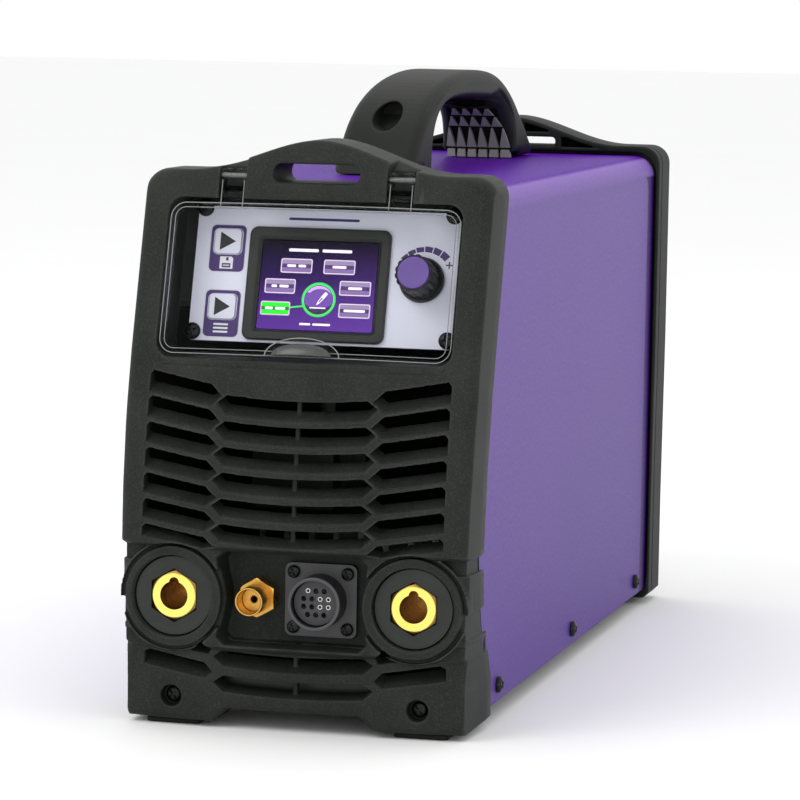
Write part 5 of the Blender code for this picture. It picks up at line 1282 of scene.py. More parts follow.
# keys
for tag, w0, top, low in KEY_ROWS:
    key = prism("key", [round_rect(-53.4, -40.8, w0, w0 + 11.6, 2.0, 6)], 'Y', PANEL_V - 0.9, PANEL_V + 2.0, 0.3, 3)
    key = join(key, box("flange", -54.6, -39.6, PANEL_V + 1.9, PANEL_V + 2.9, w0 + 1.0, w0 + 10.6))
    key = join(key, rod("stem", 'Y', (-47.1, w0 + 5.8), 2.0, PANEL_V + 2.5, PANEL_V + 7.4, 24))
    finish(leaning(key), "key_cap_%s" % tag, M_KEY, "key_" + tag, ("button_" + tag,))
    c = w0 + 5.8
    printed("key_arrow_%s" % tag, [[(-50.6, c - 4.3), (-43.2, c), (-50.6, c + 4.3)]], M_INK, PANEL_V - 0.9, 0.10, 0.06, "key_" + tag)

# =============================================================== screen frame
V = PANEL_V
frame_ob = rim("screen_frame", (-36.4, 30.6, -25.2, 27.6, 3.8), (-30.3, 25.1, -20.3, 21.9, 1.0),
               [(0.0, V - 0.3), (0.0, V - 1.4), (0.03, V - 1.85), (0.11, V - 2.15), (0.16, V - 2.2), (0.70, V - 2.2),
                (0.76, V - 2.1), (0.93, V - 1.15), (0.98, V - 0.95), (1.0, V - 0.8), (1.0, V - 0.3)])
frame_ob = join(frame_ob, prism("spigot", [round_rect(-34.2, 28.2, -23.0, 25.4, 2, 4), round_rect(-30.3, 25.1, -20.3, 21.9, 1.0, 4)],
                                'Y', V - 0.9, V + 1.5))
finish(leaning(frame_ob), "screen_frame", M_BEZEL, "body", ("screen_bezel",))


# ==================================================================== display
def screen_glass():
    n = Nodes("screen_picture")
    sep = n.new("ShaderNodeSeparateXYZ")
    n.link(n.tc.outputs["Object"], sep.inputs[0])
    up = n.ramp(sep.outputs["Z"], 0.1792, 0.2188, 0.0, 1.0)
    fine = n.noise(1500.0, 2.0, 0.5)
    side = n.ramp(sep.outputs["X"], -0.030, 0.025, 0.0, 1.0)
    col = n.mix(n.ramp(up, 0.0, 0.55, 0.0, 1.0), srgb(96, 54, 156), srgb(46, 23, 86))
    col = n.mix(n.ramp(up, 0.5, 1.0, 0.0, 1.0), col, srgb(8, 3, 16))
    col = n.mix(n.math('MULTIPLY', n.math('MULTIPLY', side, n.ramp(up, 0.2, 1.0, 1.0, 0.1)), 0.25), col, srgb(128, 88, 190))
    col = n.mix(n.ramp(fine, 0.3, 0.7, 0.0, 0.06), col, srgb(20, 10, 40))
    n.link(col, n.b.inputs["Base Color"])
    n.link(col, n.b.inputs["Emission Color"])
    n.b.inputs["Emission Strength"].default_value = 0.22
    n.b.inputs["Specular IOR Level"].default_value = 0.1
    n.link(n.ramp(fine, 0.3, 0.7, 0.18, 0.24), n.b.inputs["Roughness"])
    return n.m


glass = prism("display_glass", [round_rect(-29.9, 24.7, -19.9, 21.5, 0.8, 4)], 'Y', V - 0.8, V + 1.8, 0.1, 2)
glass = join(glass, box("carrier", -34, 28.4, V + 1.8, V + 5.0, -19.1, 25.0))
finish(leaning(glass), "display_glass", screen_glass(), "body", ("display_module",))

L_PALE = lit("lit_outline", srgb(222, 208, 228), 0.35)
L_TOP = lit("lit_button_top", srgb(150, 128, 170), 0.35)
L_MID = lit("lit_button_middle", srgb(64, 34, 104), 0.35)
L_LOW = lit("lit_button_low", srgb(128, 100, 158), 0.35)
L_WHITE = lit("lit_white", srgb(244, 240, 248), 0.45)
L_GREEN = lit("lit_green", (0.0, 0.95, 0.01), 0.55)
L_GLOW = lit("lit_green_glow", srgb(60, 190, 110), 0.4)
L_GREENMID = lit("lit_green_middle", srgb(10, 120, 20), 0.4)
L_PINK = lit("lit_pink", srgb(225, 150, 225), 0.4)
L_DISC = lit("lit_disc", srgb(104, 62, 160), 0.4)
L_DISCDARK = lit("lit_disc_low", srgb(46, 20, 74), 0.35)
L_SHINE = lit("lit_disc_shine", srgb(196, 168, 224), 0.4)
SF = V - 0.8
count = [0]


def shown(loops, mat, lift):
    count[0] += 1
    return printed("picture_%02d" % count[0], loops, mat, SF, lift + 0.03, lift)


def band(x0, x1, w0, w1, r, lo, hi):
    """The part of a rounded rectangle between two heights."""
    pts = round_rect(x0, x1, w0, w1, r, 5)
    a, b = w0 + (w1 - w0) * lo, w0 + (w1 - w0) * hi
    out = []
    for (px, pw), (qx, qw) in zip(pts, pts[1:] + pts[:1]):
        for edge in (a, b) if qw > pw else (b, a):
            if (pw - edge) * (qw - edge) < 0:
                t = (edge - pw) / (qw - pw)
                out.append((px + (qx - px) * t, edge))
        if a <= qw <= b:
            out.append((qx, qw))
    return out


def button(x0, x1, w0, w1, words, fills, outline):
    shown([round_rect(x0, x1, w0, w1, 0.9, 5), round_rect(x0 + 0.5, x1 - 0.5, w0 + 0.5, w1 - 0.5, 0.5, 4)], outline, 0.05)
    a = (x0 + 0.5, x1 - 0.5, w0 + 0.5, w1 - 0.5, 0.5)
    for (lo, hi), m in zip(((0.0, 0.34), (0.34, 0.66), (0.66, 1.0)), fills):
        shown([band(*a, lo, hi)], m, 0.03)
    cw = (w0 + w1) / 2
    for f0, f1 in words:
        shown([round_rect(x0 + (x1 - x0) * f0, x0 + (x1 - x0) * f1, cw - 0.6, cw + 0.6, 0.4, 3)], L_WHITE, 0.06)


PLAIN = (L_LOW, L_MID, L_TOP)
button(-20.7, -5.8, 6.5, 13.2, ((0.20, 0.48), (0.56, 0.80)), PLAIN, L_PALE)
button(-0.4, 14.5, 6.5, 13.2, ((0.28, 0.72),), PLAIN, L_PALE)
button(-27.5, -13.0, -3.2, 3.6, ((0.22, 0.40), (0.48, 0.78)), PLAIN, L_PALE)
button(7.9, 22.7, -3.2, 3.6, ((0.28, 0.72),), PLAIN, L_PALE)
button(-28.7, -14.6, -13.5, -6.9, ((0.16, 0.42), (0.50, 0.84)), (L_GREEN, L_GREENMID, L_GREEN), L_PINK)
button(8.4, 23.2, -13.5, -6.9, ((0.16, 0.84),), PLAIN, L_PALE)
shown([round_rect(-17.5, -3.4, 16.5, 17.9, 0.5, 3)], L_WHITE, 0.05)
shown([round_rect(-1.6, 12.4, 16.5, 17.9, 0.5, 3)], L_WHITE, 0.05)
shown([round_rect(-9.6, -4.4, -17.6, -16.6, 0.35, 3)], L_WHITE, 0.05)
shown([round_rect(-3.4, 5.0, -17.6, -16.6, 0.35, 3)], L_WHITE, 0.05)
DCX, DCW = -1.45, -5.6
shown([[(-14.6, -9.9), (-8.0, -9.0), (-8.0, -8.4), (-14.6, -9.3)]], L_GREEN, 0.05)
shown([regular(56, 8.1, DCX, DCW), regular(56, 7.55, DCX, DCW)], L_GLOW, 0.04)
shown([regular(56, 7.55, DCX, DCW), regular(56, 7.0, DCX, DCW)], L_GREEN, 0.06)
shown([regular(56, 7.0, DCX, DCW)], L_DISC, 0.03)
half = [(DCX + 6.8 * math.cos(a), DCW + 6.8 * math.sin(a)) for a in np.linspace(math.radians(200), math.radians(340), 15)]
half += [(DCX + 6.4 * math.cos(a), DCW - 1.6 + 2.2 * math.sin(a)) for a in np.linspace(math.radians(-10), math.radians(-170), 13)]
shown([half], L_DISCDARK, 0.045)
crescent = [(DCX + 6.5 * math.cos(a), DCW + 6.5 * math.sin(a)) for a in np.linspace(math.radians(25), math.radians(150), 15)]
crescent += [(DCX + 0.6 + 5.6 * math.cos(a), DCW + 1.2 + 3.9 * math.sin(a)) for a in np.linspace(math.radians(150), math.radians(25), 13)]
shown([crescent], L_SHINE, 0.045)
# a plain torch sign: slanted body, tip and the work's surface
ux, uw = math.cos(math.radians(52)), math.sin(math.radians(52))


def along(d, o):
    return (DCX - 1.0 + ux * d - uw * o, DCW - 2.6 + uw * d + ux * o)


shown([[along(0, 0), along(1.6, 0.55), along(4.6, 0.85), along(7.4, 0.75), along(7.6, 0.0), along(7.4, -0.75), along(4.6, -0.85), along(1.6, -0.55)],
       [along(1.7, 0.2), along(4.4, 0.42), along(4.4, -0.42), along(1.7, -0.2)]], L_WHITE, 0.07)
shown([round_rect(DCX - 4.0, DCX + 3.6, DCW - 4.1, DCW - 3.5, 0.25, 3)], L_WHITE, 0.07)

# ======================================================================= knob
flutes = []
for i in range(160):
    a = math.tau * i / 160
    flutes.append((KNOB_X + (8.75 - 0.6 * (0.5 + 0.5 * math.cos(16 * a)) ** 2.2) * math.cos(a),
                   KNOB_W + (8.75 - 0.6 * (0.5 + 0.5 * math.cos(16 * a)) ** 2.2) * math.sin(a)))
knob = prism("grip", [flutes], 'Y', V - 18.0, V - 3.0, 0.45, 3, 60)
knob = join(knob, turned("skirt", [(0, V - 0.9), (10.2, V - 0.9), (10.5, V - 1.1), (10.6, V - 1.6), (10.3, V - 3.0), (9.8, V - 4.3),
                                   (9.3, V - 4.9), (8.6, V - 5.2), (8.0, V - 5.4), (0, V - 5.4)], 72, 'Y', (KNOB_X, KNOB_W)))
knob = cut(knob, rod("cap_seat", 'Y', (KNOB_X, KNOB_W), 7.75, V - 20, V - 16.9, 64),
           rod("shaft_bore", 'Y', (KNOB_X, KNOB_W), 3.3, V - 14.4, V + 3, 32),
           rod("bush_clear", 'Y', (KNOB_X, KNOB_W), 4.9, V - 3.4, V + 3, 32))
finish(leaning(knob), "knob_grip", M_KNOB, "knob", ("knob",))
cap = turned("cap", [(0, V - 17.2), (7.5, V - 17.2), (7.5, V - 18.0), (7.35, V - 18.3), (7.0, V - 18.5), (6.4, V - 18.46),
                     (4.0, V - 18.3), (0, V - 18.2)], 64, 'Y', (KNOB_X, KNOB_W))
finish(leaning(cap), "knob_disc", M_CAP, "knob", ("knob_cap",))

# ===================================================================== screws
head = pan_head(3.9, 2.3, 1.25, 3.9)
for i, (x, w) in enumerate(SCREW_AT):
    s = copy_of(head)
    shift(s, lambda a, b, c: (x + a, V - 0.3 + b, w + c))
    finish(leaning(s), "panel_head_%d" % (i + 1), M_SCREW, "body", ("panel_screw_%d" % (i + 1),))
bpy.data.objects.remove(head, do_unlink=True)
head = pan_head(3.7, 2.5, 1.9, 14.0, 0.7)
for side, sx in (("left", -1), ("right", 1)):
    s = copy_of(head)
    shift(s, lambda a, b, c: (sx * 57.8 + a, 8.7 + b, 16.0 + c))
    finish(s, "leg_head_" + side, M_SCREW, "body", ("fascia_screw_" + side,))
bpy.data.objects.remove(head, do_unlink=True)
head = pan_head(3.9, 2.4, 1.9, 6.0, 0.5)
k = 0
for sx in (1, -1):
    for y in SCREW_Y:
        k += 1
        s = copy_of(head)
        shift(s, lambda a, b, c: (sx * (COVER_HALF + 0.3 - b), y + sx * a, 19.4 + c))
        finish(s, "side_head_%d" % k, M_SCREW, "body", ("cover_screw_%d" % k,))
bpy.data.objects.remove(head, do_unlink=True)


# ======================================================================= door
DOOR_HALF, DOOR_LOW, DOOR_TOP = 68.2, -37.1, 33.2
AX_V = (HINGE_Y - LEAN_Y) * LC - (HINGE_Z - LEAN_Z) * LS
AX_W = (HINGE_Y - LEAN_Y) * LS + (HINGE_Z - LEAN_Z) * LC


def bowed(name, v0, v1):
    """A slab that follows the door's curve, between two depths behind its face."""
    xs = [DOOR_HALF * 1.03 * (i / 30 - 1) for i in range(61)]
    f = [0.9 - 2.2 * (1 - (x / DOOR_HALF) ** 2) for x in xs]
    pts = [(x, y + v0) for x, y in zip(xs, f)] + [(x, y + v1) for x, y in zip(xs[::-1], f[::-1])]
    return prism(name, [pts], 'Z', -45, 45)


def dome(name, a, b, c):
    bm = bmesh.new()
    bmesh.ops.create_uvsphere(bm, u_segments=64, v_segments=32, radius=1.0)
    for v in bm.verts:
        v.co = Vector((v.co.x * a, 0.4 + v.co.y * b, DOOR_LOW + 0.2 + v.co.z * c)) * MM
    return to_object(name, bm)


def make_door():
    edge = round_rect(-DOOR_HALF + 0.1, DOOR_HALF - 0.1, DOOR_LOW + 0.1, DOOR_TOP - 0.1, 7.2, 10)
    inner = round_rect(-DOOR_HALF + 1.9, DOOR_HALF - 1.9, DOOR_LOW + 1.9, DOOR_TOP - 1.9, 5.4, 10)
    plate_ = meet(bowed("slab", 0.0, 2.2), prism("edge", [edge], 'Y', -6, 12))
    lip = meet(bowed("lip_slab", 0.4, 5.2), prism("lip", [edge, inner], 'Y', -6, 12))
    door = soften(join(plate_, lip), 0.35, 3, 50)
    tab = cut(dome("tab", 18.5, 5.0, 9.2), box("below", -30, 30, -20, 20, DOOR_LOW - 20, DOOR_LOW + 0.15))
    hollow = cut(dome("hollow", 16.6, 3.3, 7.3), box("below", -30, 30, -20, 20, DOOR_LOW - 20, DOOR_LOW + 1.9),
                 box("behind", -30, 30, 0.6, 20, DOOR_LOW - 20, DOOR_LOW + 20))
    door = cut(join(door, cut(tab, box("behind", -30, 30, 2.4, 20, DOOR_LOW - 20, DOOR_LOW + 20))), hollow)
    for sx in (-1, 1):
        hx = sx * HINGE_X
        arm = join(box("arm", hx - 5.5, hx + 5.5, -0.6, 2.0, 30.5, AX_W, 0.3, 2),
                   rod("knuckle", 'X', (AX_V, AX_W), 3.3, hx - 5.5, hx + 5.5, 40))
        arm = cut(arm, rod("bore", 'X', (AX_V, AX_W), 1.5, hx - 9, hx + 9, 24),
                  box("gap", hx - 1.3, hx + 1.3, -9, 9, AX_W - 4.2, AX_W + 5),
                  box("channel", hx - 3.4, hx + 3.4, -9, 0.1, 31.8, AX_W - 4.6))
        door = join(door, arm)
    return leaning(door)


finish(make_door(), "door_moulding", M_CLEAR, "door", ("door",), 30)


# thin pale strips along the clear door's rims, round the thumb tab and on the hinge arms: painted highlight of the
# clear edges
def highlight_bead(name, outer, inner):
    return meet(bowed(name, -0.14, 0.4), prism(name + "_edge", [outer, inner], 'Y', -6, 12))


def door_line(inset, width, r):
    return [round_rect(-DOOR_HALF + i, DOOR_HALF - i, DOOR_LOW + i, DOOR_TOP - i, r - i, 10) for i in (inset, inset + width)]


def tab_line(a, c):
    return [(a * math.cos(math.pi * i / 40), DOOR_LOW + 0.3 + c * math.sin(math.pi * i / 40)) for i in range(41)]


lines = highlight_bead("outer", *door_line(0.12, 0.34, 7.3))
lines = join(lines, highlight_bead("inner", *door_line(2.3, 0.26, 7.3)),
             meet(bowed("tab_line", -0.14, 0.4), prism("tab_loop", [tab_line(17.6, 8.8) + tab_line(17.15, 8.35)[::-1]], 'Y', -6, 12)))
for sx in (-1, 1):
    for k in (-1, 1):
        mid = sx * HINGE_X + k * 5.15
        lines = join(lines, box("arm_line", mid - 0.16, mid + 0.16, -0.74, -0.3, 31.0, AX_W - 2.5))
finish(leaning(lines), "door_edge_highlight_lines", M_DOOR_EDGE_HIGHLIGHT, "door")
lens = cut(dome("lens", 16.6, 5.25, 7.2), box("below", -30, 30, -20, 20, DOOR_LOW - 20, DOOR_LOW + 0.6),
           box("behind", -30, 30, -2.4, 20, DOOR_LOW - 20, DOOR_LOW + 20))
finish(leaning(lens), "door_thumb_lens", M_DOORLENS, "door")
for side, sx in (("left", -1), ("right", 1)):
    pin = rod("pin", 'X', (HINGE_Y, HINGE_Z), 1.2, sx * HINGE_X - 9.0, sx * HINGE_X + 9.0, 28, 0.3)
    finish(pin, "pin_" + side, M_PIN, "body", ("hinge_pin_" + side,))

# ========================================================== control connector
flange = prism("flange", [round_rect(CONN_X - 16.8, CONN_X + 16.8, CONN_Z - 16.8, CONN_Z + 16.8, 3.2, 8),
                          regular(64, 10.6, CONN_X, CONN_Z)], 'Y', WELL_Y - 2.9, WELL_Y - 0.3, 0.35, 3)
rim_ring = turned("mouth_ring", [(12.2, -2.6), (12.2, -2.9), (12.05, -3.3), (11.75, -3.5), (11.0, -3.5),
                                 (10.72, -3.35), (10.6, -3.0), (10.6, -2.6)], 72, 'Y', (CONN_X, CONN_Z))
finish(rim_ring, "connector_mouth", M_SHELL, "body")
# the barrel's side takes the near-black copy of the shell colour: painted shade
barrel = turned("barrel", [(12.2, WELL_Y - 2.7), (12.2, -2.5), (10.6, -2.5), (10.6, WELL_Y - 2.7)], 72, 'Y', (CONN_X, CONN_Z))
finish(barrel, "connector_barrel", M_BARREL_SHADE, "body")
flange = join(flange, turned("back", [(11.3, 24.0), (11.3, WELL_Y - 1.2), (10.6, WELL_Y - 1.2), (10.6, 24.0)], 64, 'Y', (CONN_X, CONN_Z)))
for dx in (-1, 1):
    for dz in (-1, 1):
        flange = cut(flange, rod("hole", 'Y', (CONN_X + dx * 12.6, CONN_Z + dz * 12.6), 1.6, 0, 20, 20))
finish(flange, "connector_body", M_SHELL, "body", ("connector_shell",))
pins = []
for row, number in ((5.4, 3), (1.8, 4), (-1.8, 4), (-5.4, 3)):
    for i in range(number):
        pins.append((CONN_X + (i - (number - 1) / 2) * 3.8, CONN_Z + row))
insert = prism("insert", [regular(64, 10.2, CONN_X, CONN_Z)] + [regular(20, 1.25, x, z) for x, z in pins], 'Y', 0.8, 22.0, 0.12, 2)
finish(insert, "connector_core", M_INSERT, "body", ("connector_insert",))
for i, (x, z) in enumerate(pins):
    y0 = 1.0 if i in (0, 5, 6, 9, 10) else 7.0
    tube = turned("tube", [(1.2, y0 + 0.15), (1.05, y0), (0.75, y0), (0.66, y0 + 0.3), (0.66, y0 + 9), (1.2, y0 + 9)], 20, 'Y', (x, z))
    finish(tube, "contact_%02d" % (i + 1), M_CONTACT, "body")
head = pan_head(2.9, 1.7, 0.95, 6.0, 0.4)
k = 0
for dx in (-1, 1):
    for dz in (-1, 1):
        k += 1
        s = copy_of(head)
        shift(s, lambda a, b, c: (CONN_X + dx * 12.6 + a, WELL_Y - 3.2 + b, CONN_Z + dz * 12.6 + c))
        finish(s, "connector_head_%d" % k, M_SCREW, "body", ("connector_screw_%d" % k,))
bpy.data.objects.remove(head, do_unlink=True)

# ================================================================= gas outlet
hexa = prism("hexagon", [regular(6, 15.8 / math.sqrt(3), GAS_X, GAS_Z, math.radians(90))], 'Y', 3.4, WELL_Y - 0.3)
hexa = meet(hexa, turned("chamfer", [(0, 3.0), (8.0, 3.0), (8.1, 3.4), (9.4, 4.3), (9.4, 12.5), (0, 12.5)], 72, 'Y', (GAS_X, GAS_Z)))
spout = turned("spout", [(6.45, 4.5), (6.45, -8.55), (6.32, -8.88), (6.05, -9.0), (5.75, -8.95), (5.45, -8.6), (5.4, -8.2), (5.4, -1.0), (5.1, -0.7),
                         (1.9, -0.6), (1.5, -0.3), (1.5, 4.5)], 64, 'Y', (GAS_X, GAS_Z))
hexa = cut(hexa, rod("bore", 'Y', (GAS_X, GAS_Z), 1.5, -10, 40, 24))
hexa = join(hexa, spout, turned("tail", [(5.0, 10.0), (5.0, 25.6), (4.6, 26.0), (1.5, 26.0), (1.5, 10.0)], 48, 'Y', (GAS_X, GAS_Z)))
finish(hexa, "gas_fitting", M_BRASS, "body", ("gas_outlet",))

# ============================================================ current sockets
for side, sx in (("negative", -1), ("positive", 1)):
    cx = sx * SOCKET_X
    corner = 20.6 / math.sqrt(3)
    nut = prism("nut", [regular(6, corner, cx, SOCKET_Z, math.radians(90))], 'Y', 0.4, 24.0)
    nut = meet(nut, turned("chamfer", [(0, 0.3), (10.2, 0.3), (10.3, 0.4), (12.1, 1.7), (12.1, 25), (0, 25)], 72, 'Y', (cx, SOCKET_Z)))
    nut = join(nut, turned("tail", [(0, 20.0), (8.0, 20.0), (8.0, 35.5), (7.5, 36.0), (0, 36.0)], 48, 'Y', (cx, SOCKET_Z)))
    nut = cut(nut, rod("bore", 'Y', (cx, SOCKET_Z), 6.5, -5.0, 30.0, 56), rod("key", 'Y', (cx, SOCKET_Z + 6.1), 2.3, -5.0, 12.0, 32))
    # the socket body and its bore take the darker brass copy: painted shade inside the bore
    finish(nut, "socket_body_" + side, M_BRASS_BORE_SHADE, "body", ("socket_" + side,))
    # the socket's front face takes the brighter brass copy: painted highlight
    face = turned("face", [(0, 0.0), (9.95, 0.0), (10.2, 0.22), (10.2, 0.5), (0, 0.5)], 72, 'Y', (cx, SOCKET_Z))
    face = cut(face, rod("bore", 'Y', (cx, SOCKET_Z), 6.5, -5.0, 30.0, 56), rod("key", 'Y', (cx, SOCKET_Z + 6.1), 2.3, -5.0, 12.0, 32))
    finish(face, "socket_face_" + side, M_BRASS_FACE_LIT, "body", ())
    hole = regular(6, (20.6 + 0.7) / math.sqrt(3), cx, SOCKET_Z, math.radians(90))
    disc = prism("disc", [regular(96, 18.05, cx, SOCKET_Z), hole], 'Y', 0.2, 6.1, 0.3, 2)
    disc = join(disc, prism("hub", [regular(64, 13.95, cx, SOCKET_Z), hole], 'Y', 5.0, 20.0))
    finish(disc, "socket_disc_" + side, M_DISC, "body", ("insulator_" + side,))

# ======================================================================== fan
ring = prism("ring", [round_rect(-59.5, 59.5, FAN_Z - 59.5, FAN_Z + 59.5, 5, 6), regular(96, 57.4, 0, FAN_Z)], 'Y', 396.3, 421.3, 0.5, 2)
ring = join(ring, turned("cup", [(0, 396.3), (19.2, 396.3), (20.0, 397.0), (20.0, 399.0), (0, 399.0)], 64, 'Y', (0, FAN_Z)))
for i in range(4):
    a = math.tau * i / 4 + 0.5
    ca, sa = math.cos(a), math.sin(a)
    bar = box("strut", 16, 58.4, 396.3, 398.8, -1.6, 1.6, 0.4, 2)
    shift(bar, lambda x, y, z: (x * ca - z * sa, y, FAN_Z + x * sa + z * ca))
    ring = join(ring, bar)
ring = join(ring, rod("spindle", 'Y', (0, FAN_Z), 1.8, 398.0, 414.0, 24))
for dx in (-1, 1):
    for dz in (-1, 1):
        ring = cut(ring, rod("hole", 'Y', (dx * 52.5, FAN_Z + dz * 52.5), 2.2, 380, 440, 24))
finish(ring, "fan_ring", M_FAN, "body", ("fan_frame",))

rotor = turned("hub", [(19.0, 418.5), (19.4, 418.2), (19.5, 417.6), (19.5, 401.0), (2.3, 401.0), (2.3, 418.5)], 64, 'Y', (0, FAN_Z))
for i in range(7):
    a = math.tau * i / 7
    ca, sa = math.cos(a), math.sin(a)
    bm = bmesh.new()
    rows = []
    for u in range(11):
        x = 18.2 + (55.0 - 18.2) * u / 10
        row = []
        for w in range(9):
            s = w / 8
            y = 401.5 + 16.5 * s
            camber = 2.2 * math.sin(math.pi * s) * (0.4 + 0.6 * u / 10)
            row.append((x, y, (y - 409.7) * (1.25 - 0.012 * x) + camber, 0.35 + 1.0 * math.sin(math.pi * (0.12 + 0.76 * s))))
        rows.append(row)
    top = [[bm.verts.new((x * MM, y * MM, (z + t / 2) * MM)) for x, y, z, t in row] for row in rows]
    low = [[bm.verts.new((x * MM, y * MM, (z - t / 2) * MM)) for x, y, z, t in row] for row in rows]
    for u in range(10):
        for w in range(8):
            bm.faces.new((top[u][w], top[u + 1][w], top[u + 1][w + 1], top[u][w + 1]))
            bm.faces.new((low[u][w], low[u][w + 1], low[u + 1][w + 1], low[u + 1][w]))
        for w, f in ((0, 1), (8, -1)):
            q = (top[u][w], low[u][w], low[u + 1][w], top[u + 1][w])
            bm.faces.new(q if f > 0 else q[::-1])
    for u, f in ((0, 1), (10, -1)):
        for w in range(8):
            q = (top[u][w], top[u][w + 1], low[u][w + 1], low[u][w])
            bm.faces.new(q if f > 0 else q[::-1])
    blade = to_object("blade", bm)
    shift(blade, lambda x, y, z: (x * ca - z * sa, y, FAN_Z + x * sa + z * ca))
    rotor = join(rotor, blade)
finish(rotor, "fan_blades", M_FAN, "fan", ("fan_rotor",))


def wire_ring(R, r, y):
    return turned("wire", [(R + r * math.cos(math.tau * i / 10), y + r * math.sin(math.tau * i / 10)) for i in range(10)], 72, 'Y', (0, FAN_Z))


guard = wire_ring(57.2, 1.0, GUARD_Y + 1.0)
for R in (46.5, 36, 26, 16):
    guard = join(guard, wire_ring(R, 0.9, GUARD_Y + 2.0))
for i in range(4):
    a = math.tau * i / 4 + math.pi / 4
    ca, sa = math.cos(a), math.sin(a)
    bar = turned("spoke", [(0, 15.4), (0.95, 15.4), (0.95, 71.5), (0, 71.5)], 14, 'X', (GUARD_Y + 1.0, 0))
    loop = turned("eye", [(3.3 + 0.95 * math.cos(math.tau * q / 10), GUARD_Y + 1.0 + 0.95 * math.sin(math.tau * q / 10)) for q in range(10)],
                  32, 'Y', (74.25, 0))
    bar = join(bar, loop)
    shift(bar, lambda x, y, z: (x * ca - z * sa, y, FAN_Z + x * sa + z * ca))
    guard = join(guard, bar)
finish(guard, "fan_wires", M_WIRE, "body", ("fan_guard",))
head = pan_head(4.0, 2.4, 1.9, 7.0, 0.2)
k = 0
for dx in (-1, 1):
    for dz in (-1, 1):
        k += 1
        s = copy_of(head)
        shift(s, lambda a, b, c: (dx * 52.5 - a, GUARD_Y + 2.05 - b, FAN_Z + dz * 52.5 + c))
        finish(s, "fan_head_%d" % k, M_SCREW, "body", ())
bpy.data.objects.remove(head, do_unlink=True)

# =============================================================== mains switch
house = prism("frame", [round_rect(SWITCH_X - 16.5, SWITCH_X + 16.5, SWITCH_Z - 13.5, SWITCH_Z + 13.5, 2, 6)], 'Y', GUARD_Y, GUARD_Y + 2.0, 0.6, 3)
house = join(house, box("well", SWITCH_X - 13.7, SWITCH_X + 13.7, 402.0, GUARD_Y + 1.0, SWITCH_Z - 10.7, SWITCH_Z + 10.7))
house = cut(house, box("hollow", SWITCH_X - 12.6, SWITCH_X + 12.6, 404.5, 440.0, SWITCH_Z - 9.6, SWITCH_Z + 9.6))
finish(house, "switch_frame", M_SWITCH, "body", ("switch_housing",))
ROCK_Y = 417.0
tip = math.radians(10)
rk = []
for s in np.linspace(-1, 1, 13):
    rk.append((10.2 + 1.8 * s * s, 7.9 * s))
rk += [(0.0, 8.5), (-6.0, 4.0), (-6.0, -4.0), (0.0, -8.5)]
loop = [(ROCK_Y + a * math.cos(tip) + b * math.sin(tip), SWITCH_Z - a * math.sin(tip) + b * math.cos(tip)) for a, b in rk]
rocker = prism("rocker", [loop], 'X', SWITCH_X - 12.0, SWITCH_X + 12.0, 0.4, 3, 50)
finish(rocker, "rocker_cap", M_ROCKER, "rocker", ("switch_rocker",))


def rocker_mark(name, loops, b0):
    """White sign on the rocker's curved face, at height b0 along it."""
    ob = prism(name, loops, 'Y', -0.05, 0.12)
    lean = math.atan(2 * 1.8 * (b0 / 7.9) / 7.9)

    def put(x, y, z):
        a = 10.2 + 1.8 * (b0 / 7.9) ** 2 - y * math.cos(lean) + z * math.sin(lean)
        b = b0 + z * math.cos(lean) + y * math.sin(lean)
        return (SWITCH_X - x, ROCK_Y + a * math.cos(tip) + b * math.sin(tip), SWITCH_Z - a * math.sin(tip) + b * math.cos(tip))
    shift(ob, put)
    finish(ob, name, M_WHITE, "rocker")


rocker_mark("rocker_on", [round_rect(-0.45, 0.45, -1.7, 1.7, 0.2, 2)], -4.6)
rocker_mark("rocker_off", [regular(32, 1.9), regular(32, 1.3)], 4.6)

# ================================================================ cable gland
nut = prism("gland_nut", [regular(6, 15.2, GLAND_X, GLAND_Z)], 'Y', GUARD_Y, 431.0)
nut = meet(nut, turned("round", [(0, GUARD_Y - 1), (15.2, GUARD_Y - 1), (15.2, 429.6), (13.9, 431.2), (0, 431.2)], 72, 'Y', (GLAND_X, GLAND_Z)))
grip = []
for i in range(144):
    a = math.tau * i / 144
    r = 13.5 - 0.5 * (0.5 + 0.5 * math.cos(18 * a)) ** 2
    grip.append((GLAND_X + r * math.cos(a), GLAND_Z + r * math.sin(a)))
dome = prism("gland_dome", [grip], 'Y', 431.6, 447.0)
dome = meet(dome, turned("round", [(0, 431.0), (14, 431.0), (14, 440.0), (13.3, 443.4), (12.4, 445.6), (11.8, 446.6), (11.0, 447.0), (0, 447.0)],
                         72, 'Y', (GLAND_X, GLAND_Z)))
nut = join(nut, rod("neck", 'Y', (GLAND_X, GLAND_Z), 12.2, 430.0, 433.0, 64), dome, rod("thread", 'Y', (GLAND_X, GLAND_Z), 11.9, 408.0, GUARD_Y + 1, 64))
nut = cut(nut, rod("bore", 'Y', (GLAND_X, GLAND_Z), 7.0, 400, 460, 56))
nut = cut(nut, turned("mouth", [(0, 445.6), (7.0, 445.6), (8.6, 447.4), (0, 447.4)], 56, 'Y', (GLAND_X, GLAND_Z)))
finish(nut, "gland_body", M_GLAND, "body", ("cable_gland",))

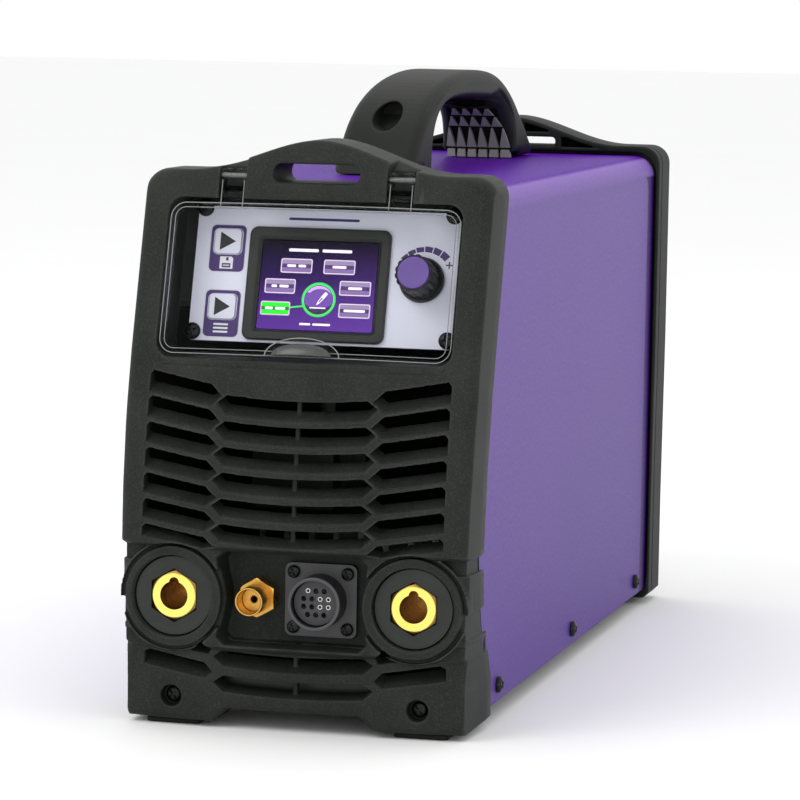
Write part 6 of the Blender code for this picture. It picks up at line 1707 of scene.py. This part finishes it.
# ================================================================== gas inlet
gin = prism("inlet_nut", [regular(6, 15 / math.sqrt(3), GASIN_X, GASIN_Z, math.radians(90))], 'Y', GUARD_Y, GUARD_Y + 6.0)
gin = meet(gin, turned("round", [(0, GUARD_Y - 1), (8.7, GUARD_Y - 1), (8.7, GUARD_Y + 5.2), (7.5, GUARD_Y + 6.2), (0, GUARD_Y + 6.2)],
                       64, 'Y', (GASIN_X, GASIN_Z)))
gin = join(gin, rod("spigot", 'Y', (GASIN_X, GASIN_Z), 5.6, 410.0, GUARD_Y + 3.0, 40),
           turned("tail", [(0, 448.0), (3.0, 448.0), (3.3, 447.7), (4.4, 444.5), (4.3, 444.2), (3.6, 444.0), (4.6, 440.0), (4.5, 439.7), (3.8, 439.5),
                           (4.8, 435.5), (4.7, 435.2), (4.2, 435.0), (4.4, 430.0), (5.2, 428.5), (5.2, 427.5), (0, 427.5)], 48, 'Y', (GASIN_X, GASIN_Z)))
gin = cut(gin, rod("bore", 'Y', (GASIN_X, GASIN_Z), 2.0, 400, 460, 24))
finish(gin, "gas_tail", M_BRASS, "body", ("gas_inlet",))

# ============================================== CAD nodes that stay as they are
for node, mat in (("base_tray", M_BLACKSHEET), ("rear_panel", M_BLACKSHEET), ("control_pcb", M_BOARD), ("encoder_body", M_ENCODER),
                  ("encoder_shaft", M_STEEL), ("main_pcb", M_BOARD), ("heatsink", M_SINK), ("transformer", M_FERRITE),
                  ("output_choke", M_COPPER), ("hf_unit", M_RESIN), ("gas_valve", M_VALVE), ("gas_hose", M_HOSE)):
    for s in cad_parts[node].material_slots:
        s.material = mat




# =========================================================== stage and camera
def make_camera():
    yaw, pitch, roll = 0.2512, 0.1070, 0.0172
    cy, sy = math.cos(yaw), math.sin(yaw)
    cp, sp = math.cos(pitch), math.sin(pitch)
    fwd = Vector((-sy * cp, cy * cp, -sp))
    right = Vector((cy, sy, 0))
    up = right.cross(fwd)
    cr, sr = math.cos(roll), math.sin(roll)
    r2 = right * cr + up * sr
    u2 = -right * sr + up * cr
    cam = bpy.data.cameras.new("camera")
    cam.sensor_width = 36.0
    cam.lens = 3859.5 / 800 * 36
    cam.clip_start = 0.05
    cam.clip_end = 50
    ob = bpy.data.objects.new("camera", cam)
    m = Matrix.Identity(4)
    for i in range(3):
        m[i][0], m[i][1], m[i][2] = r2[i], u2[i], -fwd[i]
    m.translation = Vector((0.4712, -1.8700, 0.3363))
    ob.matrix_world = m
    link(ob)
    bpy.context.scene.camera = ob


make_camera()

floor_bm = bmesh.new()
bmesh.ops.create_grid(floor_bm, x_segments=8, y_segments=8, size=14.0)
floor = to_object("floor", floor_bm)
fl = Nodes("pale_floor")
fl.link(fl.mix(fl.ramp(fl.noise(3.0), 0.3, 0.7, 0.0, 0.4), (0.95, 0.95, 0.952), (0.93, 0.93, 0.932)), fl.b.inputs["Base Color"])
fl.b.inputs["Roughness"].default_value = 0.9
fl.b.inputs["Specular IOR Level"].default_value = 0.1
floor.data.materials.append(fl.m)

world = bpy.data.worlds.new("studio")
bpy.context.scene.world = world
world.use_nodes = True
bg = world.node_tree.nodes["Background"]
bg.inputs["Color"].default_value = (1.0, 1.0, 1.0, 1.0)
bg.inputs["Strength"].default_value = 1.0


def softbox(name, at, aim, size, power, colour=(1, 1, 1)):
    li = bpy.data.lights.new(name, 'AREA')
    li.shape = 'RECTANGLE'
    li.size, li.size_y = size
    li.energy = power
    li.color = colour
    ob = link(bpy.data.objects.new(name, li))
    ob.location = at
    ob.rotation_euler = (Vector(aim) - Vector(at)).to_track_quat('-Z', 'Y').to_euler()
    return ob


softbox("key", (-1.1, -1.7, 1.9), (0, -0.1, 0.15), (1.2, 1.2), 15)
softbox("side", (2.4, -0.3, 1.3), (0, 0, 0.12), (1.6, 1.2), 4)
softbox("top", (0.1, 0.5, 2.4), (0, 0, 0.2), (1.6, 1.6), 6)
softbox("low_front", (0.6, -2.4, 0.5), (0, -0.2, 0.12), (1.4, 0.6), 3)

sc = bpy.context.scene
sc.view_settings.view_transform = 'Standard'
sc.view_settings.look = 'None'
sc.view_settings.exposure = 0.0
